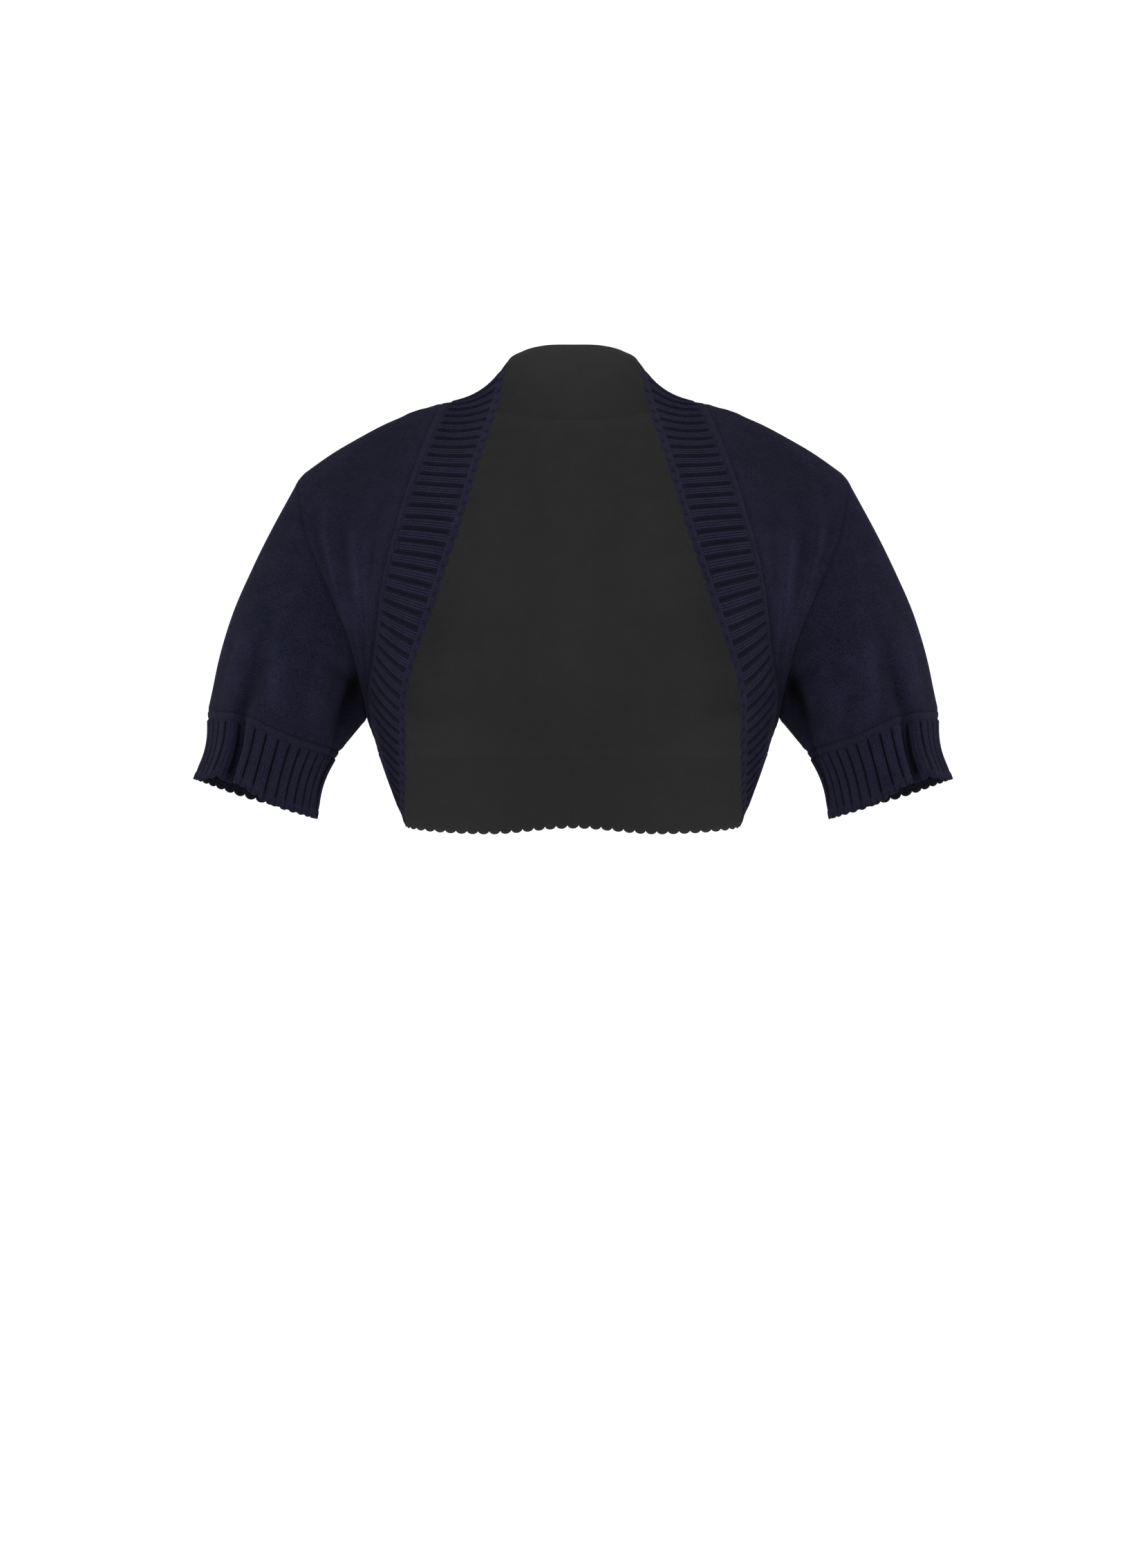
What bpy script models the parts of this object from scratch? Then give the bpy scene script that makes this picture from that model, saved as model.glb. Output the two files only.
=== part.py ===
"""A short-sleeved knitted shrug, hollow and open in front, in the pose it has when it is worn.

Metres, +Z up, and the wearer faces -Y, so their left side is at +X. The origin is the middle of the
neck's base at shoulder height. The garment is the same on both sides: the left half is worked out
here, and the right half is its mirror image.

Each piece is a wall between an outer and an inner skin. A seam's points belong to every piece that
meets there, and so do the directions that the wall is thickened in, which keeps the pieces parted
by the same narrow gap all along the seam.
"""

import math

import bmesh
import bpy
import numpy as np

# Knit and seam sizes
SEAM_GAP = 0.0003
JERSEY_OUT = 0.0002
JERSEY_IN = 0.0014
TRIM_IN = 0.0016
RIB_RISE = 0.0010
RIB_ROUND = 0.0002
STRIP_RISE = 0.0009
EDGE_RISE = 0.0007
TIP_RISE = 0.0003
SCALLOP_DEPTH = 0.0026

# How far each line of the ribbed trim is from the seam, along the ribs
STRIP_WIDTH = 0.0065
GUTTER_SLOPE = 0.0016
EDGE_STRIP = 0.0045

# Ribs on each stretch, counted on one half, and the points across one rib
NECK_RIBS = 12
FRONT_RIBS = 36
HEM_RIBS = 24
CUFF_RIBS = 36
RIB_COLUMNS = (0.0, 0.2, 0.5, 0.8)
RIB_HEIGHTS = (0.0, 1.0, 1.0, 1.0)
RIB_CROWNS = (0.0, 0.0, 1.0, 0.0)
SCALLOP_HEIGHTS = (1.0, 0.72, 0.0, 0.72)

# Ribs of each half of the back neck whose edge is straight, before the scallops begin
STRAIGHT_RIBS = 11

# Steps along the shoulder seam, the armhole's front or back half and the side seam
SHOULDER_STEPS = 12
ARMHOLE_STEPS = 36
SIDE_STEPS = 4
SLEEVE_RINGS = 7

# The ribbed trim round the opening, from the centre of the back neck over the shoulder and down the
# front, round the side and back along the hem. bow is how far its middle stands off the chord.
TRIM_COLUMNS = ("place", "seam", "edge", "bow")
TRIM = (
    ("centre back neck", (0.0, 0.074, 0.003), (0.0, 0.056, 0.0565), -0.004),
    ("back neck", (0.040, 0.064, 0.006), (0.021, 0.0525, 0.0555), -0.005),
    ("side neck", (0.070, 0.042, 0.009), (0.0365, 0.039, 0.0500), -0.007),
    ("shoulder", (0.092, 0.008, 0.0090), (0.0480, 0.013, 0.0385), -0.0068),
    ("collarbone", (0.0985, -0.014, 0.0010), (0.0530, -0.018, 0.0085), -0.006),
    ("upper chest", (0.1120, -0.046, -0.0362), (0.0665, -0.062, -0.0394), -0.002),
    ("chest", (0.1249, -0.067, -0.0800), (0.0789, -0.093, -0.0855), 0.001),
    ("bust", (0.1358, -0.072, -0.1260), (0.0960, -0.1055, -0.1390), 0.002),
    ("below bust", (0.1415, -0.051, -0.1715), (0.1158, -0.0885, -0.1990), 0.003),
    ("front corner", (0.1472, -0.030, -0.2040), (0.1186, -0.0640, -0.2370), 0.003),
    ("side seam", (0.1420, -0.004, -0.2380), (0.1200, -0.0350, -0.2710), 0.002),
    ("side", (0.1335, 0.027, -0.2450), (0.1215, -0.006, -0.2925), 0.0025),
    ("back corner", (0.1070, 0.066, -0.2480), (0.1145, 0.034, -0.3005), 0.002),
    ("back hem", (0.0580, 0.087, -0.2490), (0.0600, 0.070, -0.3042), 0.001),
    ("centre back hem", (0.0, 0.092, -0.2490), (0.0, 0.078, -0.3000), 0.000),
)
SHOULDER_ROW = 3
SIDE_ROW = 10

# The armhole seam, from the shoulder tip down the front and down the back to the underarm
SHOULDER_TIP = (0.196, 0.006, -0.044)
UNDERARM = (0.1490, 0.002, -0.2190)
ARMHOLE_FRONT = (
    ("sleeve head", (0.1980, -0.018, -0.0570)),
    ("upper chest", (0.1895, -0.038, -0.0930)),
    ("chest", (0.1705, -0.050, -0.1380)),
    ("lower chest", (0.1593, -0.047, -0.1680)),
    ("front of underarm", (0.1508, -0.026, -0.2040)),
)
ARMHOLE_BACK = (
    ("sleeve head", (0.1950, 0.032, -0.0600)),
    ("shoulder blade", (0.1840, 0.058, -0.0950)),
    ("back", (0.1700, 0.072, -0.1350)),
    ("lower back", (0.1590, 0.066, -0.1700)),
    ("back of underarm", (0.1510, 0.036, -0.2040)),
)
SHOULDER_SEAM_BOW = 0.0065

# The centre of the back, from the neck seam to the hem seam
CENTRE_BACK = (
    ("neck seam", (0.0, 0.074, 0.003)),
    ("upper back", (0.0, 0.095, -0.045)),
    ("shoulder blades", (0.0, 0.110, -0.110)),
    ("lower back", (0.0, 0.106, -0.180)),
    ("hem seam", (0.0, 0.092, -0.249)),
)
BLADE_FULLNESS = 0.002

# The cuff's two rings: centre, the arm from the centre to the outer side, and to the front
CUFF_SEAM_RING = ((0.2158, -0.008, -0.2290), (0.0472, 0.0, 0.0145), (0.0, -0.050, 0.0015))
CUFF_EDGE_RING = ((0.2285, -0.0145, -0.2780), (0.0445, 0.0, 0.0145), (0.0, -0.046, 0.0005))
SLEEVE_SWELL = 0.010

# How far the cuff draws in between its rings, on its outer and its inner side
CUFF_HOLLOWS = (0.0045, 0.0040)

# Where the cuff's seam and edge ride up or hang lower, at angles round the arm
CUFF_LIFT_COLUMNS = ("name", "angle", "width", "seam_lift", "edge_lift")
CUFF_LIFTS = (
    ("over the front tuck", 65, 24, 0.0045, 0.0065),
    ("front of the cuff", 112, 28, -0.0005, -0.0005),
    ("back of the cuff", 285, 45, -0.0010, -0.0048),
)

# Folds on the sleeve and cuff. Angles go round the arm, from 0 at its outer side over 90 in front.
# Depths point into the sleeve, and a swell is a fold with a depth below zero.
SLEEVE_FOLD_COLUMNS = (
    "name", "top_angle", "seam_angle", "edge_angle", "width", "top_depth", "seam_depth", "edge_depth"
)
SLEEVE_FOLDS = (
    ("front cuff tuck", 55, 66, 70, 9, 0.000, 0.0040, 0.0120),
    ("swell beside the tuck", 85, 96, 98, 16, 0.000, -0.0020, -0.0035),
    ("underarm fold", 152, 172, 176, 12, 0.007, 0.0075, 0.0020),
    ("back cuff tuck", 240, 248, 250, 13, 0.000, 0.0030, 0.0070),
    ("back swell", 280, 288, 290, 18, 0.000, -0.0010, -0.0020),
)
FOLD_EASE = 2.5

# Long soft folds on each front, which run from shoulder to side: where across the panel they lie at
# the top and bottom, as shares of its width, and how far they stand out
FRONT_FOLDS = (
    ("fold beside the armhole", 0.80, 0.62, 0.10, 0.0012),
    ("hollow between the folds", 0.60, 0.40, 0.12, -0.0008),
    ("fold beside the trim", 0.40, 0.20, 0.12, 0.0006),
)

NAVY_JERSEY = (0.013, 0.014, 0.026)
NAVY_RIB = (0.012, 0.013, 0.024)
KNIT_ROUGHNESS = 0.9


def clear_scene():
    for obj in list(bpy.data.objects):
        bpy.data.objects.remove(obj, do_unlink=True)


# Curves

def smooth_rows(rows, steps, first=None, last=None):
    """Rows of numbers joined by a smooth curve through each of them, with this many steps a span.
    first and last are the rows beyond the ends, which set the curve's direction there."""
    rows = np.asarray(rows, float)
    before = 2 * rows[0] - rows[1] if first is None else np.asarray(first, float)
    after = 2 * rows[-1] - rows[-2] if last is None else np.asarray(last, float)
    held = np.vstack([before, rows, after])
    share = np.arange(steps)[:, None] / steps
    made = []
    for a, b, c, d in zip(held, held[1:], held[2:], held[3:]):
        made.append(
            0.5
            * (
                2 * b
                + (c - a) * share
                + (2 * a - 5 * b + 4 * c - d) * share**2
                + (3 * b - a - 3 * c + d) * share**3
            )
        )
    return np.vstack([*made, rows[-1:]])


def lengths_along(points):
    return np.concatenate([[0.0], np.cumsum(np.linalg.norm(np.diff(points, axis=0), axis=1))])


def read_at(rows, along, places):
    return np.stack([np.interp(places, along, column) for column in rows.T], axis=1)


def even_points(points, count):
    along = lengths_along(points)
    return read_at(points, along, np.linspace(0.0, along[-1], count + 1))


def across_centre(point):
    return (-point[0], *point[1:])


# The trim round the opening

CURVE_STEPS = 24


def trim_rows():
    """Seam, edge and bow of the trim in small steps, and the step at which each table row lies."""
    rows = np.array([[*seam, *edge, bow] for _, seam, edge, bow in TRIM])
    mirror = np.array([-1, 1, 1, -1, 1, 1, 1])
    dense = smooth_rows(rows, CURVE_STEPS, first=rows[1] * mirror, last=rows[-2] * mirror)
    return dense


def trim_stations(dense, first_row, last_row, ribs):
    """The trim's seam, edge and bow at each point across its ribs, between two rows of the table."""
    part = dense[first_row * CURVE_STEPS : last_row * CURVE_STEPS + 1]
    along = lengths_along((part[:, :3] + part[:, 3:6]) / 2)
    shares = [rib + column for rib in range(ribs) for column in RIB_COLUMNS] + [ribs]
    return read_at(part, along, np.array(shares) * along[-1] / ribs)


def on_centre(points, directions):
    """The directions at length 1, and square to the X axis at points on the centre plane."""
    flat = np.where(np.abs(points[..., :1]) < 1e-9, (0.0, 1.0, 1.0), 1.0)
    directions = directions * flat
    return directions / np.linalg.norm(directions, axis=-1, keepdims=True)


def trim_surface(stations, widths):
    """Points of the plain trim for each distance from the seam, measured along the ribs."""
    seam, edge, bow = stations[:, :3], stations[:, 3:6], stations[:, 6:]
    chord = edge - seam
    outward = on_centre(seam, np.cross(chord, np.gradient((seam + edge) / 2, axis=0)))
    reach = np.linalg.norm(chord, axis=1, keepdims=True)
    shares = [np.clip(width / reach, 0.0, 1.2) for width in widths]
    return [seam + chord * s + outward * bow * 4 * s * (1 - s) for s in shares]


# The panels of jersey

def filled(top, bottom, left, right):
    """A smooth patch between four curves. Its rows run from top to bottom."""
    down = np.linspace(0, 1, len(left))[:, None, None]
    over = np.linspace(0, 1, len(top))[None, :, None]
    between_rows = (1 - down) * top[None] + down * bottom[None]
    between_sides = (1 - over) * left[:, None] + over * right[:, None]
    corners = (
        (1 - down) * ((1 - over) * top[0] + over * top[-1])
        + down * ((1 - over) * bottom[0] + over * bottom[-1])
    )
    return between_rows + between_sides - corners


def bowed_line(start, end, bow, steps):
    share = np.linspace(0, 1, steps + 1)[:, None]
    line = np.array(start) + (np.array(end) - np.array(start)) * share
    return line + np.array([0, 0, 4 * bow]) * share * (1 - share)


def armhole(table, mirror_table):
    """One half of the armhole seam, from the shoulder tip to the underarm."""
    points = [SHOULDER_TIP, *(point for _, point in table), UNDERARM]
    dense = smooth_rows(
        points, CURVE_STEPS, first=mirror_table[0][1], last=mirror_table[-1][1]
    )
    return even_points(dense, ARMHOLE_STEPS)


def normals_of(grid, closed=False):
    """Directions square to a grid of points, for rows that run down and columns that run across."""
    if closed:
        grid = np.concatenate([grid, grid[:, :1]], axis=1)
    cross = np.cross(grid[1:, 1:] - grid[:-1, :-1], grid[:-1, 1:] - grid[1:, :-1])
    total = np.zeros_like(grid)
    for rows in (slice(0, -1), slice(1, None)):
        for columns in (slice(0, -1), slice(1, None)):
            total[rows, columns] += cross
    if closed:
        total[:, 0] += total[:, -1]
        total = total[:, :-1]
    return total


def front_panel(seam_points, front_armhole, shoulder_seam, side_seam):
    panel = filled(shoulder_seam, side_seam[::-1], seam_points, front_armhole)
    directions = normals_of(panel)
    directions /= np.linalg.norm(directions, axis=2, keepdims=True)
    down = np.linspace(0, 1, panel.shape[0])[:, None]
    over = np.linspace(0, 1, panel.shape[1])[None, :]
    held_at_ends = np.sin(np.pi * np.clip(down, 0, 1)) ** 0.5 * np.sin(np.pi * over)
    stand = np.zeros(panel.shape[:2])
    for _, top, bottom, width, height in FRONT_FOLDS:
        middle = top + (bottom - top) * down
        stand += height * np.exp(-(((over - middle) / width) ** 2))
    return panel + directions * (stand * held_at_ends)[:, :, None]


def back_panel(neck_seam, shoulder_seam, hem_seam, back_armhole, side_seam):
    centre = [point for _, point in CENTRE_BACK]
    right = np.vstack([back_armhole, side_seam[1:]])
    centre_line = even_points(smooth_rows(centre, CURVE_STEPS), len(right) - 1)
    top = np.vstack([neck_seam, shoulder_seam[1:]])
    panel = filled(top, hem_seam[::-1], centre_line, right)
    down = np.linspace(0, 1, panel.shape[0])[:, None]
    over = np.linspace(0, 1, panel.shape[1])[None, :]
    panel[:, :, 1] += BLADE_FULLNESS * np.sin(np.pi * down) * np.sin(np.pi * over)
    return panel


# The sleeve and its cuff

def ring(spec, turns):
    centre, outer, front = (np.array(part) for part in spec)
    angle = np.asarray(turns)[:, None] * 2 * math.pi
    return centre + outer * np.cos(angle) + front * np.sin(angle)


def cuff_ring(turns, share):
    """The plain ring of the cuff at shares of the way from its seam to its edge."""
    row = ring(CUFF_SEAM_RING, turns) * (1 - share) + ring(CUFF_EDGE_RING, turns) * share
    for _, angle, width, seam_lift, edge_lift in CUFF_LIFTS:
        away = (np.asarray(turns) * 360 - angle + 180) % 360 - 180
        lift = seam_lift + (edge_lift - seam_lift) * np.broadcast_to(share, (len(row), 1))[:, 0]
        row[:, 2] += lift * np.exp(-((away / width) ** 2))
    return row


def cuff_reach(turns):
    return np.linalg.norm(cuff_ring(turns, 1.0) - cuff_ring(turns, 0.0), axis=1, keepdims=True)


def fold_depth(turns, down_sleeve, down_cuff):
    """How far the folds push the sleeve in, at shares of a turn round the arm."""
    depth = np.zeros(len(turns))
    for _, top, seam, edge, width, top_depth, seam_depth, edge_depth in SLEEVE_FOLDS:
        ease = down_sleeve**FOLD_EASE
        middle = top + (seam - top) * down_sleeve + (edge - seam) * down_cuff
        deep = top_depth + (seam_depth - top_depth) * ease + (edge_depth - seam_depth) * down_cuff
        away = (np.asarray(turns) * 360 - middle + 180) % 360 - 180
        depth += deep * np.exp(-((away / width) ** 2))
    return depth


def pushed_in(points, depth):
    centre = points.mean(axis=0)
    inward = centre - points
    return points + inward / np.linalg.norm(inward, axis=1, keepdims=True) * depth[:, None]


def sleeve_rings(armhole_ring):
    """Rings from the armhole to the cuff's seam, each with as many points as the armhole has."""
    turns = np.arange(len(armhole_ring)) / len(armhole_ring)
    cuff = cuff_ring(turns, 0.0)
    rows = []
    for share in np.linspace(0, 1, SLEEVE_RINGS + 1):
        row = armhole_ring * (1 - share) + cuff * share
        swell = -SLEEVE_SWELL * math.sin(math.pi * share) * (0.5 + 0.5 * np.cos(turns * 2 * math.pi))
        held = math.sin(math.pi * min(share * 2, 1) / 2)
        rows.append(pushed_in(row, swell + fold_depth(turns, share, 0.0) * held))
    return np.array(rows)


def cuff_surface(turns, widths, reach):
    """Rings of the plain cuff at distances below its seam."""
    rows = []
    for width in widths:
        share = np.asarray(width / reach, float).reshape(-1, 1)
        row = cuff_ring(turns, share)
        around = np.cos(np.asarray(turns) * 2 * math.pi)
        drawn_in = CUFF_HOLLOWS[0] * (1 + around) / 2 + CUFF_HOLLOWS[1] * (1 - around) / 2
        hollow = drawn_in * np.sin(np.pi * np.clip(share[:, 0], 0, 1))
        rows.append(pushed_in(row, fold_depth(turns, 1.0, share[:, 0]) + hollow))
    return rows


# Directions of thickness, shared along seams

def key_of(point):
    return tuple(np.round(point, 6) + 0.0)


def share_normals(surfaces):
    """Adds up the directions of all the surfaces that meet at each point."""
    total = {}
    for grid, sign, closed in surfaces:
        directions = normals_of(grid, closed) * sign
        for point, direction in zip(grid.reshape(-1, 3), directions.reshape(-1, 3)):
            total[key_of(point)] = total.get(key_of(point), 0) + direction
    return {key: on_centre(np.array(key), direction) for key, direction in total.items()}


def directions_at(grid, shared):
    return np.array([[shared[key_of(point)] for point in row] for row in grid])


def parted(grid, sides):
    """The grid with its rows and columns at the named sides drawn in by half of the seam's gap."""
    made = grid.copy()
    ends = {"top": (0, 1), "bottom": (-1, -2)}
    for side in sides:
        if side in ends:
            edge, inner = ends[side]
            toward = grid[inner] - grid[edge]
            made[edge] += toward / np.linalg.norm(toward, axis=1, keepdims=True) * SEAM_GAP / 2
        else:
            edge, inner = (0, 1) if side == "left" else (-1, -2)
            toward = grid[:, inner] - grid[:, edge]
            made[:, edge] += toward / np.linalg.norm(toward, axis=1, keepdims=True) * SEAM_GAP / 2
    return made


# Walls

def corner_row(bm, points):
    return [bm.verts.new(tuple(point)) for point in points]


def stitch(bm, first, second, cells, closed):
    """Faces between two rows of corners, which may have different numbers of corners in each cell."""
    steps = [(len(row) if closed else len(row) - 1) // cells for row in (first, second)]
    for cell in range(cells):
        parts = [
            [row[(cell * step + n) % len(row)] for n in range(step + 1)]
            for row, step in zip((first, second), steps)
        ]
        if steps[0] == steps[1]:
            for n in range(steps[0]):
                bm.faces.new([parts[0][n], parts[0][n + 1], parts[1][n + 1], parts[1][n]])
        else:
            bm.faces.new(parts[0] + parts[1][::-1])


def ribbed_wall(bm, outer, inner, ribs, closed, capped):
    """A wall with an outer and an inner skin, closed along both rims and at its capped ends."""
    outside = [corner_row(bm, row) for row in outer]
    inside = [corner_row(bm, row) for row in inner]
    for skin in (outside, inside):
        for first, second in zip(skin, skin[1:]):
            stitch(bm, first, second, ribs, closed)
    stitch(bm, outside[0], inside[0], ribs, closed)
    stitch(bm, outside[-1], inside[-1], ribs, closed)
    for end in capped:
        bm.faces.new([row[end] for row in outside] + [row[end] for row in inside[::-1]])


def panel_cells(grid_shape, row_step, column_step, sides):
    """Loops of grid places round each face. A side has the places that the next piece has there."""
    rows, columns = grid_shape[0] - 1, grid_shape[1] - 1

    def walk(start, end, side):
        a, b = sorted((start, end))
        stops = [n for n in sides[side] if a < n < b] if side else []
        return stops if start < end else stops[::-1]

    for i in range(0, rows, row_step):
        for j in range(0, columns, column_step):
            low, far = i + row_step, j + column_step
            yield (
                [(i, j)]
                + [(i, n) for n in walk(j, far, "top" if i == 0 else None)]
                + [(i, far)]
                + [(n, far) for n in walk(i, low, "right" if far == columns else None)]
                + [(low, far)]
                + [(low, n) for n in walk(far, j, "bottom" if low == rows else None)]
                + [(low, j)]
                + [(n, j) for n in walk(low, i, "left" if j == 0 else None)]
            )


def panel_wall(bm, outer, inner, row_step, column_step, sides, open_side=None):
    """A wall of jersey: both skins, and a rim all round but for the side that its mirror image joins."""
    rows, columns = outer.shape[0] - 1, outer.shape[1] - 1
    skins = ({}, {})
    for loop in panel_cells(outer.shape, row_step, column_step, sides):
        for skin, grid in zip(skins, (outer, inner)):
            for place in loop:
                if place not in skin:
                    skin[place] = bm.verts.new(tuple(grid[place]))
            bm.faces.new([skin[place] for place in loop])
    rims = {
        "top": [(0, n) for n in range(columns + 1)],
        "bottom": [(rows, n) for n in range(columns + 1)],
        "left": [(n, 0) for n in range(rows + 1)],
        "right": [(n, columns) for n in range(rows + 1)],
    }
    for side, places in rims.items():
        if side == open_side:
            continue
        kept = [place for place in places if place in skins[0]]
        for first, second in zip(kept, kept[1:]):
            bm.faces.new([skins[0][first], skins[0][second], skins[1][second], skins[1][first]])


def trim_rises(ribs, closed):
    """Heights of a rib, a rib's crown and a scallop at each point across the ribs."""
    ends = 0 if closed else 1
    lists = []
    for heights in (RIB_HEIGHTS, RIB_CROWNS, SCALLOP_HEIGHTS):
        lists.append(np.array(list(heights) * ribs + [heights[0]] * ends))
    return lists


def trim_lines(reach, scallops):
    """Distances from the seam of the trim's lines: strip, ribs, edge strip and scalloped edge."""
    notch = reach - SCALLOP_DEPTH
    return [
        np.zeros_like(reach),
        np.full_like(reach, STRIP_WIDTH),
        np.full_like(reach, STRIP_WIDTH + GUTTER_SLOPE),
        (reach - EDGE_STRIP - SCALLOP_DEPTH + STRIP_WIDTH + GUTTER_SLOPE) / 2,
        notch - EDGE_STRIP,
        notch - EDGE_STRIP + GUTTER_SLOPE,
        notch + SCALLOP_DEPTH * scallops,
    ]


def trim_skins(surface, directions, ribs, closed):
    """The trim's outer rows, with strip, ribs and scalloped edge raised, and its plain inner rows."""
    rib, crown, _ = trim_rises(ribs, closed)
    ribbed = RIB_RISE * rib + RIB_ROUND * crown
    flat = np.ones_like(rib)
    rises = [STRIP_RISE * flat, STRIP_RISE * flat, ribbed, ribbed, ribbed, EDGE_RISE * flat, TIP_RISE * flat]
    outer = [row + way * rise[:, None] for row, way, rise in zip(surface, directions, rises)]
    inner = [row - way * TRIM_IN for row, way in zip(surface, directions)]
    step = len(RIB_COLUMNS)
    outer = [row[::step] if n < 2 else row for n, row in enumerate(outer)]
    return outer, [inner[0][::step], inner[3][::step], inner[5][::step], inner[6]]


def knit_material(name, colour):
    material = bpy.data.materials.new(name)
    material.use_nodes = True
    shader = material.node_tree.nodes["Principled BSDF"]
    shader.inputs["Base Color"].default_value = (*colour, 1.0)
    shader.inputs["Roughness"].default_value = KNIT_ROUGHNESS
    shader.inputs["Metallic"].default_value = 0.0
    return material


def add_piece(name, bm, outward, colour, joined_to_mirror=False):
    """An object from a bmesh whose first face looks outward. A centre piece gets its other half from
    a Mirror modifier."""
    bmesh.ops.recalc_face_normals(bm, faces=bm.faces)
    bm.faces.ensure_lookup_table()
    if np.dot(bm.faces[0].normal, outward) < 0:
        bmesh.ops.reverse_faces(bm, faces=bm.faces)
    mesh = bpy.data.meshes.new(name)
    bm.to_mesh(mesh)
    bm.free()
    mesh.materials.append(knit_material(name + "_knit", colour))
    obj = bpy.data.objects.new(name, mesh)
    bpy.context.scene.collection.objects.link(obj)
    if joined_to_mirror:
        mirror = obj.modifiers.new("other half", "MIRROR")
        mirror.use_axis = (True, False, False)
        mirror.use_mirror_merge = True
        mirror.merge_threshold = 0.00005
    return obj


def add_pair(name, bm, outward, colour):
    """The left piece, and a right piece that is its mirror image."""
    left = add_piece(name + "_left", bm, outward, colour)
    other = bmesh.new()
    other.from_mesh(left.data)
    bmesh.ops.scale(other, vec=(-1, 1, 1), verts=other.verts)
    add_piece(name + "_right", other, across_centre(outward), colour)


def trim_directions(surface, shared):
    """The trim's own directions, with the shared ones on its seam, its ends and the centre plane."""
    own = on_centre(surface, normals_of(surface))
    for place in np.ndindex(surface.shape[:2]):
        own[place] = shared.get(key_of(surface[place]), own[place])
    return own


def build_trim(stations, shared):
    """The whole trim of the left half, cut into its pieces at the shoulder and the side seam."""
    ribs = NECK_RIBS + FRONT_RIBS + HEM_RIBS
    reach = np.linalg.norm(stations[:, 3:6] - stations[:, :3], axis=1, keepdims=True)
    _, _, scallop = trim_rises(ribs, False)
    scallop[: STRAIGHT_RIBS * len(RIB_COLUMNS) + 1] = 1.0
    surface = np.array(trim_surface(stations, trim_lines(reach, scallop[:, None])))
    directions = trim_directions(surface, shared)
    shoulder, side = NECK_RIBS, NECK_RIBS + FRONT_RIBS
    for name, first, last, seams in (
        ("neck_band", 0, shoulder, ["right"]),
        ("front_band", shoulder, side, ["left", "right"]),
        ("hem_band", side, ribs, ["left"]),
    ):
        columns = slice(first * len(RIB_COLUMNS), last * len(RIB_COLUMNS) + 1)
        own = parted(surface[:, columns], ["top", *seams])
        outer, inner = trim_skins(own, directions[:, columns], last - first, False)
        capped = [0 if seam == "left" else -1 for seam in seams]
        bm = bmesh.new()
        ribbed_wall(bm, outer, inner, last - first, False, capped)
        outward = directions[0, columns][0]
        if len(seams) == 1:
            add_piece(name, bm, outward, NAVY_RIB, joined_to_mirror=True)
        else:
            add_pair(name, bm, outward, NAVY_RIB)


def build_cuff(shared):
    turns = np.array([rib + column for rib in range(CUFF_RIBS) for column in RIB_COLUMNS]) / CUFF_RIBS
    reach = cuff_reach(turns)
    _, _, scallop = trim_rises(CUFF_RIBS, True)
    lines = trim_lines(reach, scallop[:, None])
    surface = np.array(cuff_surface(turns, lines, reach))
    directions = normals_of(surface, closed=True)
    directions /= -np.linalg.norm(directions, axis=2, keepdims=True)
    for n, point in enumerate(surface[0]):
        directions[0, n] = shared.get(key_of(point), directions[0, n])
    surface = parted(surface, ["top"])
    outer, inner = trim_skins(surface, directions, CUFF_RIBS, True)
    bm = bmesh.new()
    ribbed_wall(bm, outer, inner, CUFF_RIBS, True, [])
    add_pair("cuff", bm, directions[0, 0], NAVY_RIB)


def build_sleeve(rows, shared):
    directions = directions_at(rows, shared)
    rows = parted(rows, ["top", "bottom"])
    bm = bmesh.new()
    outer = list(rows + directions * JERSEY_OUT)
    inner = list(rows - directions * JERSEY_IN)
    ribbed_wall(bm, outer, inner, len(rows[0]), True, [])
    add_pair("sleeve", bm, directions[0, 0], NAVY_JERSEY)


def build_panel(name, panel, shared, steps, sides, gaps, open_side=None):
    directions = directions_at(panel, shared)
    panel = parted(panel, gaps)
    bm = bmesh.new()
    panel_wall(
        bm, panel + directions * JERSEY_OUT, panel - directions * JERSEY_IN, *steps, sides, open_side
    )
    outward = directions[0, 0]
    if open_side:
        add_piece(name, bm, outward, NAVY_JERSEY, joined_to_mirror=True)
    else:
        add_pair(name, bm, outward, NAVY_JERSEY)


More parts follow.
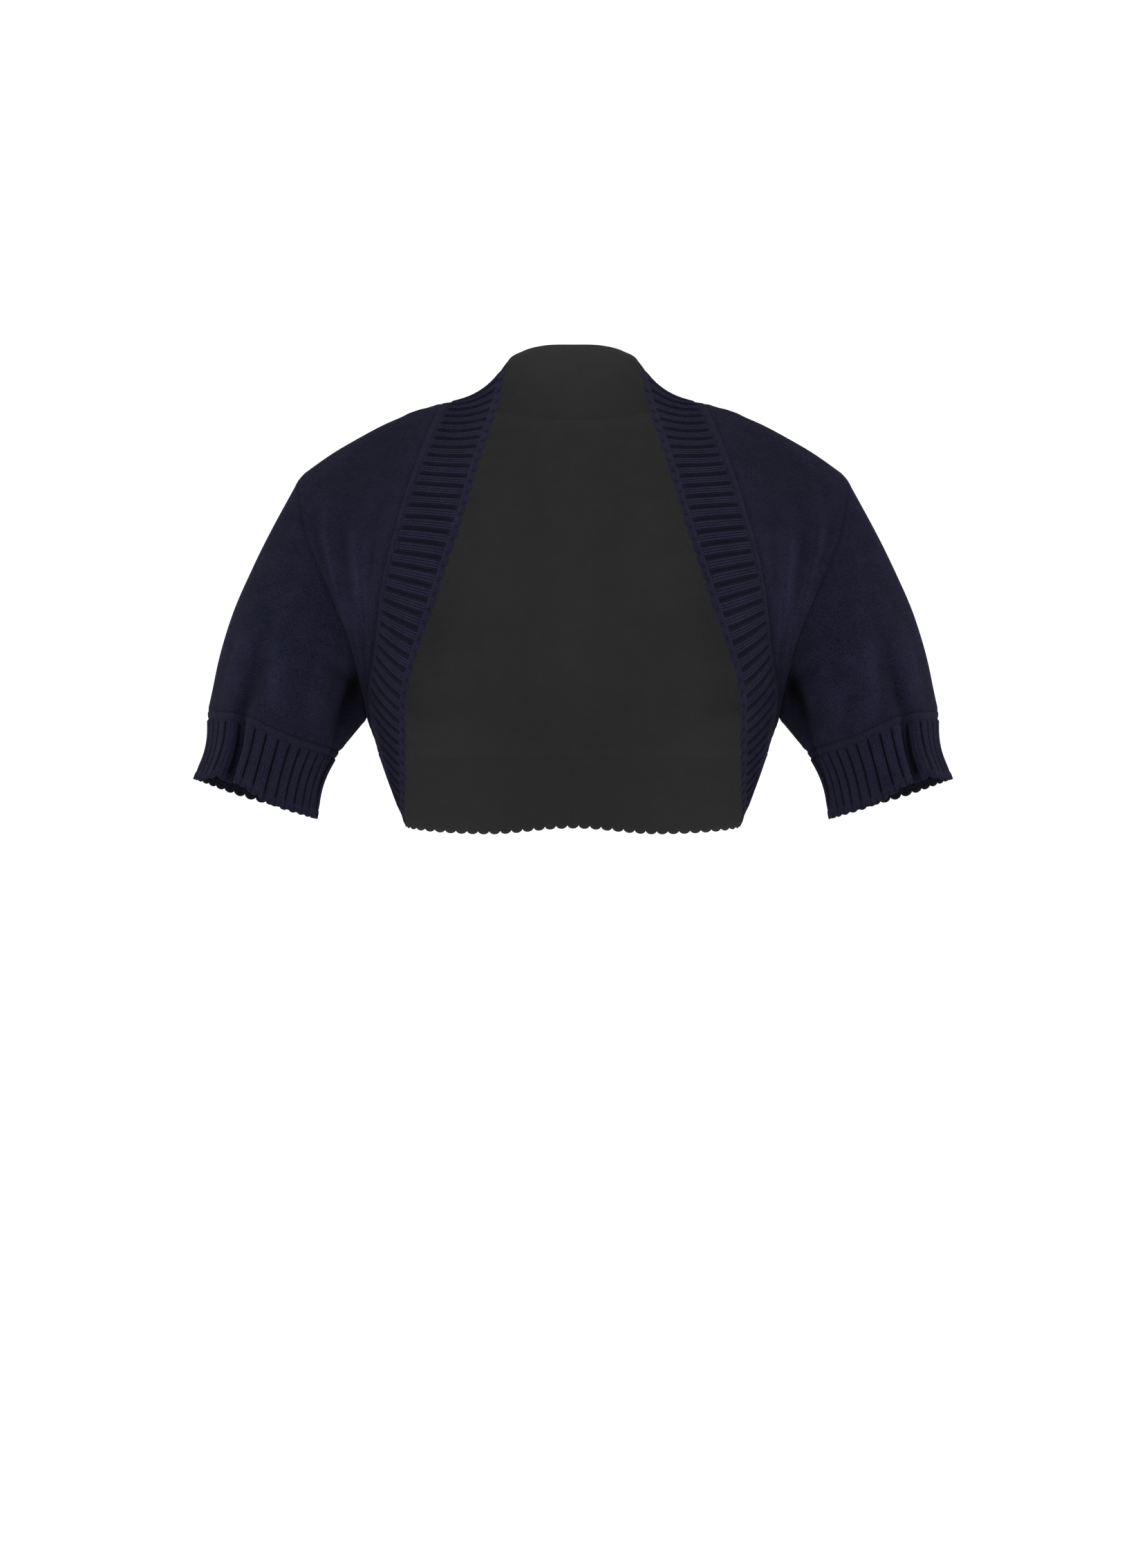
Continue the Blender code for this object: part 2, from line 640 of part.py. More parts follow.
def main():
    clear_scene()
    dense = trim_rows()
    neck = trim_stations(dense, 0, SHOULDER_ROW, NECK_RIBS)
    front = trim_stations(dense, SHOULDER_ROW, SIDE_ROW, FRONT_RIBS)
    hem = trim_stations(dense, SIDE_ROW, len(TRIM) - 1, HEM_RIBS)
    step = len(RIB_COLUMNS)
    neck_seam, front_seam, hem_seam = (part[::step, :3] for part in (neck, front, hem))

    front_armhole = armhole(ARMHOLE_FRONT, ARMHOLE_BACK)
    back_armhole = armhole(ARMHOLE_BACK, ARMHOLE_FRONT)
    shoulder_seam = bowed_line(TRIM[SHOULDER_ROW][1], SHOULDER_TIP, SHOULDER_SEAM_BOW, SHOULDER_STEPS)
    side_seam = bowed_line(UNDERARM, TRIM[SIDE_ROW][1], 0.0, SIDE_STEPS)
    side_over = bowed_line(UNDERARM, TRIM[SIDE_ROW][1], 0.0, SHOULDER_STEPS)

    front_jersey = front_panel(front_seam, front_armhole, shoulder_seam, side_over)
    back_jersey = back_panel(neck_seam, shoulder_seam, hem_seam, back_armhole, side_seam)
    sleeve_step = 2 * ARMHOLE_STEPS // CUFF_RIBS
    armhole_ring = np.vstack([front_armhole[:-1], back_armhole[:0:-1]])[::sleeve_step]
    sleeve = sleeve_rings(armhole_ring)

    trim = np.vstack([neck[:-1], front[:-1], hem])
    trim_start = np.array(trim_surface(trim[::step], (0.0, STRIP_WIDTH)))
    turns = np.arange(CUFF_RIBS) / CUFF_RIBS
    reach = cuff_reach(turns)
    cuff_top = np.array(cuff_surface(turns, (np.zeros_like(reach), np.full_like(reach, STRIP_WIDTH)), reach))
    shared = share_normals(
        [
            (trim_start, 1, False),
            (front_jersey, 1, False),
            (back_jersey, -1, False),
            (sleeve, -1, True),
            (cuff_top, -1, True),
        ]
    )

    rows, columns = front_jersey.shape[0] - 1, front_jersey.shape[1] - 1
    front_sides = {
        "top": range(columns + 1),
        "bottom": range(0, columns + 1, 3),
        "left": range(rows + 1),
        "right": range(0, rows + 1, sleeve_step),
    }
    build_panel("front", front_jersey, shared, (2, 3), front_sides, ["top", "bottom", "left", "right"])
    rows, columns = back_jersey.shape[0] - 1, back_jersey.shape[1] - 1
    back_sides = {
        "top": range(columns + 1),
        "bottom": range(columns + 1),
        "left": range(0, rows + 1, 4),
        "right": [*range(0, ARMHOLE_STEPS, sleeve_step), *range(ARMHOLE_STEPS, rows + 1)],
    }
    build_panel("back", back_jersey, shared, (4, 2), back_sides, ["top", "bottom", "right"], "left")
    build_sleeve(sleeve, shared)
    build_cuff(shared)
    build_trim(trim, shared)


main()
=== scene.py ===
"""A short-sleeved knitted shrug in navy, with a ribbed and scalloped trim, as it is when it is worn."""

import math

import bmesh
import bpy
import numpy as np
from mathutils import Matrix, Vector


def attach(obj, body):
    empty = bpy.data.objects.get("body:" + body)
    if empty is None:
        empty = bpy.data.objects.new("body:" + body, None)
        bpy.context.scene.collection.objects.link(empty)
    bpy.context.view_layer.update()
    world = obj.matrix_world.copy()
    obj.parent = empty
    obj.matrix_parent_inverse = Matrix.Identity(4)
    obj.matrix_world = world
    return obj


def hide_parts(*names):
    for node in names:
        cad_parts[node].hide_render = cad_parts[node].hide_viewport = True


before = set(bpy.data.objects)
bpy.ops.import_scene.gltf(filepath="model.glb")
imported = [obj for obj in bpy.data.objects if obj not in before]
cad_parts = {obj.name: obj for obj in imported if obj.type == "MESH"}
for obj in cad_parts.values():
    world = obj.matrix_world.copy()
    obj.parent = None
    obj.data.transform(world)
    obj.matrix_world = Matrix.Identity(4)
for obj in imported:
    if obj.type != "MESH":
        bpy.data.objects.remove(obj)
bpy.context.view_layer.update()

# Walls and the trim's relief
JERSEY_OUT = 0.0002
JERSEY_IN = 0.0014
TRIM_IN = 0.0016
RIB_RISE = 0.0012
WALE_RISE = 0.00045
STRIP_RISE = 0.0005
EDGE_RISE = 0.0008
SCALLOP_DEPTH = 0.0026
STRIP_WIDTH = 0.0052
EDGE_STRIP = 0.0038
CUFF_EDGE_STRIP = 0.0036
CUFF_EDGE_RIBBED = 0.45
SEAM_DIP = 0.0004
SEAM_ROLL = 0.00025

# Edges that bend by more than this, in degrees, are drawn sharp
SHARP_ANGLE = 62

# Along the seams of a panel: where the roll lies, how wide the roll, the dip and the dark line are,
# and how far from a seam the creases are held down, on both skins or on the inner one alone
ROLL_PLACE = 0.004
ROLL_WIDTH = 0.0015
DIP_WIDTH = 0.0016
LINE_WIDTH = 0.0010
CREASES_HELD = 0.012
INNER_HELD = 0.004

# How far from its seams the back leaves their shared directions
BACK_HELD = 0.010

# Along the trim's seam and below its strip: how wide the dips and the dark line are
TRIM_DIP_WIDTH = 0.0007
TRIM_LINE_WIDTH = 0.0009
STRIP_DIP = 0.0002
STRIP_DIP_WIDTH = 0.0005
STRIP_MIDDLE = 0.52
STRIP_HALF = 0.55

# Where the trim's ribs and their painted shade begin, past the strip, and where the ribs end and the
# edge strip's relief, painted light and the painted shadow in its notches begin, past the edge strip's
# start. EDGE_THINS is in edge strips.
RIBS_BEGIN = (0.0, 0.0016)
RIB_SHADE_BEGINS = (-0.0003, 0.0020)
RIBS_END = (-0.0014, -0.0001)
EDGE_BEGINS = (-0.0006, 0.0008)
EDGE_THINS = (0.67, 1.6)
EDGE_SHADE_BEGINS = (-0.0003, 0.0006)
NOTCHES_BEGIN = (0.0008, 0.0030)
CHAIN_PLACE = 0.0007
CHAIN_WIDTH = 0.0007

# How much thinner the wall is in the trim's last rows
EDGE_THINNED = (0.1, 0.3, 0.6)

# Shares of a rib's width over which its side rises, and its painted shade: the dark of the gutter, the
# painted light that the rib adds, and the painted light that the wales add
RIB_SIDE = (0.09, 0.21)
CUFF_RIB_SIDE = (0.03, 0.16)
RIB_SHADES = (0.40, 0.10, 0.12, 1.10)
CUFF_RIB_SHADES = (0.20, 0.70, 0.36)

# A scallop's outline: how round it is at its tip and at its notches
LOBE_ROUNDNESS = (2.2, 0.7)

# Ribs of the back neck whose edge is straight, before the scallops begin
STRAIGHT_RIBS = (10.6, 12.2)

# The strip widens where the front turns the corner under the arm. Places on the trim are counted in
# ribs from the centre of the back neck.
CORNER_STRIP = 0.0060
CORNER_PLACE = 45.0
CORNER_SPREAD = 2.6

# A soft ridge runs across the trim from that corner: places, and distances from the seam
RIDGE_PLACES = (42.5, 45.5, 48.0, 51.0, 55.0)
RIDGE_DISTANCES = (0.006, 0.014, 0.019, 0.022, 0.030)
RIDGE_RISE = 0.0012
RIDGE_WIDTH = 0.0055

# Painted light and shade: how much the creases' rise lightens ridges and darkens troughs, how much the
# seams darken, and the painted light the edge strip adds, then the painted light along its chain, the
# painted shadow in the notches, and the painted highlight of the ridge and how much of it is mixed in
CREASE_LIGHT = 230.0
SEAM_SHADE = 0.20
EDGE_LIGHT = 0.02
CHAIN_LIGHT = 0.16
NOTCH_SHADE = 0.45
RIDGE_MIX = 0.75
RIDGE_TONE = 2.10

# The tuck in the cuff, and the painted shade in its slit: its angle round the arm, width in degrees,
# and how dark the painted shade is
TUCK_ANGLE = 67.5
TUCK_WIDTH = 2.0
TUCK_SHADE = 0.75

# The inside's painted shade by height, with painted light towards the sides, high up and low down. The
# spans are across from the centre, and up.
INSIDE_SHADES = (
    (-0.305, 0.665),
    (-0.250, 0.75),
    (-0.235, 0.75),
    (-0.220, 0.82),
    (-0.200, 0.88),
    (-0.180, 0.95),
    (-0.140, 1.00),
    (0.000, 1.00),
    (0.011, 0.98),
    (0.035, 0.86),
    (0.056, 0.78),
)
UPPER_SIDE_LIGHT = 0.18
UPPER_SIDE = ((0.02, 0.07), (-0.20, -0.10))
LOWER_SIDE_LIGHT = 0.34
LOWER_SIDE = ((0.02, 0.12), (-0.20, -0.14))

# Ribs on each stretch, counted on one half, and how finely each is drawn
NECK_RIBS = 12
FRONT_RIBS = 36
HEM_RIBS = 24
CUFF_RIBS = 36
TRIM_RIB_COLUMNS = 20
CUFF_RIB_COLUMNS = 16
WALES_A_RIB = 5
CUFF_WALES_A_RIB = 4

# Steps of the plain surfaces, and how many finer steps each is divided into
SHOULDER_STEPS = 12
ARMHOLE_STEPS = 36
SIDE_STEPS = 4
CURVE_STEPS = 24
FRONT_FINER = (4, 5)
BACK_FINER = (4, 4)
SLEEVE_FINER = 3
BACK_EVENED = 120
SLEEVE_COARSE_RINGS = 14
SLEEVE_RINGS = 64

# Rows of a piece that turn from the seam's shared directions to its own
TRIM_SHARED_ROWS = 5
SLEEVE_SHARED_ROWS = 4

# Stitches of the knit
WALE_WIDTH = 0.0016
COURSE_HEIGHT = 0.0012
STITCH_SLANT = 1.4
YARN_ROUNDNESS = 0.6
GAP_SOFTNESS = 0.5

# The ribbed trim round the opening, from the centre of the back neck over the shoulder and down the
# front, round the side and back along the hem. Columns: place, seam, edge, and the bow, which is how
# far its middle stands off the chord.
TRIM = (
    ("centre back neck", (0.0, 0.074, 0.003), (0.0, 0.056, 0.0565), -0.004),
    ("back neck", (0.040, 0.064, 0.006), (0.021, 0.0525, 0.0555), -0.005),
    ("side neck", (0.070, 0.042, 0.009), (0.0365, 0.039, 0.0500), -0.007),
    ("shoulder", (0.092, 0.008, 0.0090), (0.0480, 0.013, 0.0385), -0.0068),
    ("collarbone", (0.0985, -0.014, 0.0010), (0.0530, -0.018, 0.0085), -0.006),
    ("upper chest", (0.1120, -0.046, -0.0362), (0.0665, -0.062, -0.0394), -0.002),
    ("chest", (0.1249, -0.067, -0.0800), (0.0789, -0.093, -0.0855), 0.001),
    ("bust", (0.1358, -0.072, -0.1260), (0.0960, -0.1055, -0.1390), 0.002),
    ("below bust", (0.1415, -0.051, -0.1715), (0.1158, -0.0885, -0.1990), 0.003),
    ("front corner", (0.1472, -0.030, -0.2040), (0.1186, -0.0640, -0.2370), 0.003),
    ("side seam", (0.1420, -0.004, -0.2380), (0.1200, -0.0350, -0.2710), 0.002),
    ("side", (0.1335, 0.027, -0.2450), (0.1215, -0.006, -0.2925), 0.0025),
    ("back corner", (0.1070, 0.066, -0.2480), (0.1145, 0.034, -0.3005), 0.002),
    ("back hem", (0.0580, 0.087, -0.2490), (0.0600, 0.070, -0.3042), 0.001),
    ("centre back hem", (0.0, 0.092, -0.2490), (0.0, 0.078, -0.3000), 0.000),
)
SHOULDER_ROW = 3
SIDE_ROW = 10

# The armhole seam, from the shoulder tip down the front and down the back to the underarm
SHOULDER_TIP = (0.196, 0.006, -0.044)
UNDERARM = (0.1490, 0.002, -0.2190)
ARMHOLE_FRONT = (
    ("sleeve head", (0.1980, -0.018, -0.0570)),
    ("upper chest", (0.1895, -0.038, -0.0930)),
    ("chest", (0.1705, -0.050, -0.1380)),
    ("lower chest", (0.1593, -0.047, -0.1680)),
    ("front of underarm", (0.1508, -0.026, -0.2040)),
)
ARMHOLE_BACK = (
    ("sleeve head", (0.1950, 0.032, -0.0600)),
    ("shoulder blade", (0.1840, 0.058, -0.0950)),
    ("back", (0.1700, 0.072, -0.1350)),
    ("lower back", (0.1590, 0.066, -0.1700)),
    ("back of underarm", (0.1510, 0.036, -0.2040)),
)
SHOULDER_SEAM_BOW = 0.0065

# The centre of the back, from the neck seam to the hem seam
CENTRE_BACK = (
    ("neck seam", (0.0, 0.074, 0.003)),
    ("upper back", (0.0, 0.095, -0.045)),
    ("shoulder blades", (0.0, 0.110, -0.110)),
    ("lower back", (0.0, 0.106, -0.180)),
    ("hem seam", (0.0, 0.092, -0.249)),
)
BLADE_FULLNESS = 0.002

# The cuff's two rings: centre, the arm from the centre to the outer side, and to the front
CUFF_SEAM_RING = ((0.2158, -0.008, -0.2290), (0.0472, 0.0, 0.0145), (0.0, -0.050, 0.0015))
CUFF_EDGE_RING = ((0.2285, -0.0145, -0.2780), (0.0445, 0.0, 0.0145), (0.0, -0.046, 0.0005))
SLEEVE_SWELL = 0.010

# How far the cuff draws in between its rings, on its outer and its inner side
CUFF_HOLLOWS = (0.0045, 0.0040)

# Where the cuff's seam and edge ride up or hang lower. Columns: name, angle round the arm, width,
# and the lifts of the seam and of the edge.
CUFF_LIFTS = (
    ("over the front tuck", 68, 26, 0.0045, 0.0085),
    ("front of the cuff", 112, 28, -0.0005, -0.0005),
    ("back of the cuff", 285, 45, -0.0010, -0.0022),
)

# Folds on the sleeve and cuff. Angles go round the arm, from 0 at its outer side over 90 in front.
# Depths point into the sleeve, and a swell is a fold with a depth below zero. Columns: name, the
# angles at the top, the cuff's seam and its edge, width, and the depths at those three places.
ARM_FOLDS = (
    ("front cuff tuck", 58, 64, 65, 5.8, 0.000, 0.0068, 0.0165),
    ("swell beside the tuck", 85, 96, 98, 16, 0.000, -0.0020, -0.0035),
    ("swell outside the tuck", 40, 48, 50, 9, 0.000, -0.0008, -0.0016),
    ("underarm fold", 138, 168, 176, 10, 0.009, 0.0085, 0.0020),
    ("back cuff tuck", 240, 248, 250, 13, 0.000, 0.0030, 0.0070),
    ("back swell", 280, 288, 290, 18, 0.000, -0.0010, -0.0020),
)
FOLD_EASE = 2.5

# Long soft folds of the front panels: where across the panel they lie at the top and bottom, as
# shares of its width, their width, and how far they stand out
FRONT_FOLDS = (
    ("fold beside the armhole", 0.80, 0.62, 0.10, 0.0012),
    ("hollow between the folds", 0.60, 0.40, 0.12, -0.0008),
    ("fold beside the trim", 0.40, 0.20, 0.12, 0.0006),
)

# Small creases. Columns: name, start and end in shares of the panel, across and down, and width,
# rise and bow in metres. A rise below zero is a trough.
FRONT_CREASES = (
    ("ridge off the armhole", (0.80, 0.24), (0.90, 0.66), 0.0036, 0.0018, -0.002),
    ("trough by the armhole", (0.92, 0.26), (0.93, 0.52), 0.0040, -0.0011, 0.0),
    ("trough inside the ridge", (0.68, 0.32), (0.70, 0.64), 0.0060, -0.0012, 0.0),
    ("ridge over the bust", (0.55, 0.32), (0.46, 0.70), 0.0052, 0.0017, -0.002),
    ("trough by the trim", (0.30, 0.36), (0.26, 0.66), 0.0070, -0.0009, 0.001),
    ("crease at the collarbone", (0.08, 0.045), (0.30, 0.035), 0.0022, 0.0009, 0.001),
    ("crease below the shoulder", (0.50, 0.06), (0.80, 0.16), 0.0060, 0.0005, 0.002),
)
BACK_CREASES = (
    ("ridge off the armhole", (0.94, 0.30), (0.70, 0.66), 0.0070, 0.0020, -0.006),
    ("trough beside it", (0.86, 0.28), (0.60, 0.62), 0.0080, -0.0016, -0.006),
    ("fall from the shoulder blade", (0.46, 0.40), (0.40, 0.92), 0.0110, 0.0018, 0.004),
    ("hollow inside that fall", (0.32, 0.50), (0.27, 0.95), 0.0130, -0.0014, 0.003),
    ("fall by the centre", (0.14, 0.55), (0.12, 0.97), 0.0100, 0.0011, 0.002),
    ("pull at the underarm", (0.98, 0.80), (0.62, 0.72), 0.0080, 0.0010, 0.004),
    ("second pull", (0.98, 0.86), (0.55, 0.86), 0.0075, -0.0007, 0.003),
    ("third pull", (0.97, 0.91), (0.60, 0.95), 0.0045, 0.0010, -0.002),
    ("crease below the neck", (0.10, 0.05), (0.42, 0.11), 0.0050, 0.0008, 0.004),
    ("crease at the shoulder", (0.60, 0.05), (0.86, 0.17), 0.0060, 0.0007, 0.003),
)
SLEEVE_CREASES = (
    ("ridge in front", (0.20, 0.46), (0.258, 0.96), 0.0065, 0.0017, 0.003),
    ("trough beside that ridge", (0.19, 0.62), (0.180, 1.03), 0.0070, -0.0011, 0.002),
    ("ridge before the tuck", (0.118, 0.58), (0.122, 1.00), 0.0080, 0.0012, 0.001),
    ("long fall in front", (0.31, 0.30), (0.33, 0.95), 0.0070, 0.0012, 0.004),
    ("pull to the underarm", (0.40, 0.10), (0.31, 0.42), 0.0050, -0.0008, 0.004),
    ("pull beside it", (0.38, 0.06), (0.27, 0.36), 0.0050, 0.0008, 0.004),
    ("fall on the outer side", (0.03, 0.45), (0.05, 0.98), 0.0070, 0.0009, 0.003),
    ("fall behind", (0.78, 0.35), (0.74, 0.98), 0.0080, 0.0016, 0.004),
    ("trough behind", (0.70, 0.40), (0.69, 1.00), 0.0060, -0.0015, 0.003),
    ("pull to the underarm behind", (0.57, 0.10), (0.68, 0.42), 0.0060, -0.0013, -0.004),
    ("fall behind the outer side", (0.88, 0.50), (0.90, 0.98), 0.0070, 0.0010, 0.002),
)

# Shares of a crease over which it rises and dies away, and how wide its two sides are
CREASE_STARTS = (-0.05, 0.35)
CREASE_ENDS = (0.60, 1.05)
CREASE_SIDES = (0.75, 1.25)

# Painted light and painted shade over wider folds: the same columns, with a change of painted shade for
# the rise
FRONT_SHADES = (
    ("lower front", (0.40, 0.40), (0.50, 1.30), 0.0500, 0.55, 0.0),
    ("shoulder", (0.35, -0.30), (0.40, 0.45), 0.0300, -0.24, 0.0),
)
SLEEVE_SHADES = (
    ("fold under the arm", (0.390, -0.25), (0.425, 0.98), 0.0095, -1.05, 0.004),
    ("behind the front's edge", (0.425, -0.30), (0.480, 0.80), 0.0140, -0.40, 0.0),
    ("outer side", (0.02, -0.10), (0.03, 0.95), 0.0280, -0.14, 0.0),
)
PANEL_SIZES = {"front": (0.085, 0.25), "back": (0.19, 0.26), "sleeve": (0.33, 0.20)}


# Curves and plain surfaces

def smooth_rows(rows, steps, first=None, last=None):
    """Rows of numbers joined by a smooth curve through each of them, with this many steps a span."""
    rows = np.asarray(rows, float)
    before = 2 * rows[0] - rows[1] if first is None else np.asarray(first, float)
    after = 2 * rows[-1] - rows[-2] if last is None else np.asarray(last, float)
    held = np.concatenate([[before], rows, [after]])
    share = (np.arange(steps) / steps).reshape((-1,) + (1,) * (rows.ndim - 1))
    made = []
    for a, b, c, d in zip(held, held[1:], held[2:], held[3:]):
        made.append(
            0.5
            * (
                2 * b
                + (c - a) * share
                + (2 * a - 5 * b + 4 * c - d) * share**2
                + (3 * b - a - 3 * c + d) * share**3
            )
        )
    return np.concatenate([*made, rows[-1:]])


def lengths_along(points):
    return np.concatenate([[0.0], np.cumsum(np.linalg.norm(np.diff(points, axis=0), axis=1))])


def read_at(rows, along, places):
    return np.stack([np.interp(places, along, column) for column in rows.T], axis=1)


def even_points(points, count):
    along = lengths_along(points)
    return read_at(points, along, np.linspace(0.0, along[-1], count + 1))


def unit(directions):
    return directions / np.maximum(np.linalg.norm(directions, axis=-1, keepdims=True), 1e-12)


def on_centre(points, directions):
    """The directions at length 1, and square to the X axis at points on the centre plane."""
    return unit(directions * np.where(np.abs(points[..., :1]) < 1e-9, (0.0, 1.0, 1.0), 1.0))


def eased(low, high, values):
    share = np.clip((values - low) / (high - low), 0, 1)
    return share * share * (3 - 2 * share)


def trim_rows():
    rows = np.array([[*seam, *edge, bow] for _, seam, edge, bow in TRIM])
    mirror = np.array([-1, 1, 1, -1, 1, 1, 1])
    return smooth_rows(rows, CURVE_STEPS, first=rows[1] * mirror, last=rows[-2] * mirror)


def trim_stations(dense, first_row, last_row, ribs, columns):
    """The trim's seam, edge and bow between two rows of the table, at even steps along it."""
    part = dense[first_row * CURVE_STEPS : last_row * CURVE_STEPS + 1]
    along = lengths_along((part[:, :3] + part[:, 3:6]) / 2)
    return read_at(part, along, np.linspace(0, along[-1], ribs * columns + 1))


def whole_trim(columns):
    dense = trim_rows()
    parts = (
        trim_stations(dense, 0, SHOULDER_ROW, NECK_RIBS, columns),
        trim_stations(dense, SHOULDER_ROW, SIDE_ROW, FRONT_RIBS, columns),
        trim_stations(dense, SIDE_ROW, len(TRIM) - 1, HEM_RIBS, columns),
    )
    return np.concatenate([parts[0][:-1], parts[1][:-1], parts[2]])


def trim_surface(stations, widths):
    seam, edge, bow = stations[:, :3], stations[:, 3:6], stations[:, 6:]
    chord = edge - seam
    outward = on_centre(seam, np.cross(chord, np.gradient((seam + edge) / 2, axis=0)))
    reach = np.linalg.norm(chord, axis=1, keepdims=True)
    shares = [np.clip(width / reach, 0.0, 1.2) for width in widths]
    return np.array([seam + chord * s + outward * bow * 4 * s * (1 - s) for s in shares])


def filled(top, bottom, left, right):
    """A smooth patch between four curves. Its rows run from top to bottom."""
    down = np.linspace(0, 1, len(left))[:, None, None]
    over = np.linspace(0, 1, len(top))[None, :, None]
    between_rows = (1 - down) * top[None] + down * bottom[None]
    between_sides = (1 - over) * left[:, None] + over * right[:, None]
    corners = (
        (1 - down) * ((1 - over) * top[0] + over * top[-1])
        + down * ((1 - over) * bottom[0] + over * bottom[-1])
    )
    return between_rows + between_sides - corners


def bowed_line(start, end, bow, steps):
    share = np.linspace(0, 1, steps + 1)[:, None]
    line = np.array(start) + (np.array(end) - np.array(start)) * share
    return line + np.array([0, 0, 4 * bow]) * share * (1 - share)


def armhole(table, mirror_table):
    points = [SHOULDER_TIP, *(point for _, point in table), UNDERARM]
    dense = smooth_rows(points, CURVE_STEPS, first=mirror_table[0][1], last=mirror_table[-1][1])
    return even_points(dense, ARMHOLE_STEPS)


def normals_of(grid, closed=False):
    """Directions square to a grid of points, for rows that run down and columns that run across."""
    if closed:
        grid = np.concatenate([grid, grid[:, :1]], axis=1)
    cross = np.cross(grid[1:, 1:] - grid[:-1, :-1], grid[:-1, 1:] - grid[1:, :-1])
    total = np.zeros_like(grid)
    for rows in (slice(0, -1), slice(1, None)):
        for columns in (slice(0, -1), slice(1, None)):
            total[rows, columns] += cross
    if closed:
        total[:, 0] += total[:, -1]
        total = total[:, :-1]
    return total


def front_surface(seam_points, front_armhole, shoulder_seam, side_seam):
    panel = filled(shoulder_seam, side_seam[::-1], seam_points, front_armhole)
    directions = unit(normals_of(panel))
    down = np.linspace(0, 1, panel.shape[0])[:, None]
    over = np.linspace(0, 1, panel.shape[1])[None, :]
    held_at_ends = np.sin(np.pi * down) ** 0.5 * np.sin(np.pi * over)
    stand = np.zeros(panel.shape[:2])
    for _, top, bottom, width, height in FRONT_FOLDS:
        middle = top + (bottom - top) * down
        stand += height * np.exp(-(((over - middle) / width) ** 2))
    return panel + directions * (stand * held_at_ends)[:, :, None]


def back_surface(neck_seam, shoulder_seam, hem_seam, back_armhole, side_seam):
    right = np.vstack([back_armhole, side_seam[1:]])
    centre = [point for _, point in CENTRE_BACK]
    centre_line = even_points(smooth_rows(centre, CURVE_STEPS), len(right) - 1)
    panel = filled(np.vstack([neck_seam, shoulder_seam[1:]]), hem_seam[::-1], centre_line, right)
    down = np.linspace(0, 1, panel.shape[0])[:, None]
    over = np.linspace(0, 1, panel.shape[1])[None, :]
    panel[:, :, 1] += BLADE_FULLNESS * np.sin(np.pi * down) * np.sin(np.pi * over)
    return panel


def relaxed(grid, rounds):
    """A half panel with its inner points evened out, held on its outline and square to its centre."""
    grid = grid.copy()
    for _ in range(rounds):
        centre = grid[1:-1, 1] * np.array([0, 1, 1]) + grid[1:-1, 0] * np.array([1, 0, 0])
        middle = (grid[2:, 1:-1] + grid[:-2, 1:-1] + grid[1:-1, 2:] + grid[1:-1, :-2]) / 4
        grid[1:-1, 1:-1] = (grid[1:-1, 1:-1] + middle) / 2
        grid[1:-1, 0] = (grid[1:-1, 0] + centre) / 2
    return grid


def ring(spec, turns):
    centre, outer, front = (np.array(part) for part in spec)
    angle = np.asarray(turns)[:, None] * 2 * math.pi
    return centre + outer * np.cos(angle) + front * np.sin(angle)


def cuff_ring(turns, share):
    """The plain ring of the cuff at shares of the way from its seam to its edge."""
    row = ring(CUFF_SEAM_RING, turns) * (1 - share) + ring(CUFF_EDGE_RING, turns) * share
    for _, angle, width, seam_lift, edge_lift in CUFF_LIFTS:
        away = (np.asarray(turns) * 360 - angle + 180) % 360 - 180
        lift = seam_lift + (edge_lift - seam_lift) * np.broadcast_to(share, (len(row), 1))[:, 0]
        row[:, 2] += lift * np.exp(-((away / width) ** 2))
    return row


def cuff_reach(turns):
    return np.linalg.norm(cuff_ring(turns, 1.0) - cuff_ring(turns, 0.0), axis=1, keepdims=True)


def fold_depth(turns, down_sleeve, down_cuff):
    """How far the folds push the sleeve in, at shares of a turn round the arm."""
    depth = np.zeros(len(turns))
    for _, top, seam, edge, width, top_depth, seam_depth, edge_depth in ARM_FOLDS:
        ease = down_sleeve**FOLD_EASE
        middle = top + (seam - top) * down_sleeve + (edge - seam) * down_cuff
        deep = top_depth + (seam_depth - top_depth) * ease + (edge_depth - seam_depth) * down_cuff
        away = (np.asarray(turns) * 360 - middle + 180) % 360 - 180
        depth += deep * np.exp(-((away / width) ** 2))
    return depth


def pushed_in(points, depth):
    return points + unit(points.mean(axis=0) - points) * depth[:, None]


def sleeve_surface(armhole_ring, rings):
    turns = np.arange(len(armhole_ring)) / len(armhole_ring)
    cuff = cuff_ring(turns, 0.0)
    rows = []
    for share in np.linspace(0, 1, rings + 1):
        row = armhole_ring * (1 - share) + cuff * share
        swell = -SLEEVE_SWELL * math.sin(math.pi * share) * (0.5 + 0.5 * np.cos(turns * 2 * math.pi))
        held = math.sin(math.pi * min(share * 2, 1) / 2)
        rows.append(pushed_in(row, swell + fold_depth(turns, share, 0.0) * held))
    return np.array(rows)


def cuff_surface(turns, widths, reach):
    rows = []
    for width in widths:
        share = np.broadcast_to(width / reach, (len(turns), 1))
        row = cuff_ring(turns, share)
        around = np.cos(np.asarray(turns) * 2 * math.pi)
        drawn_in = CUFF_HOLLOWS[0] * (1 + around) / 2 + CUFF_HOLLOWS[1] * (1 - around) / 2
        hollow = drawn_in * np.sin(np.pi * np.clip(share[:, 0], 0, 1))
        rows.append(pushed_in(row, fold_depth(turns, 1.0, share[:, 0]) + hollow))
    return np.array(rows)


# The plain surfaces, and the directions that all pieces share along the seams

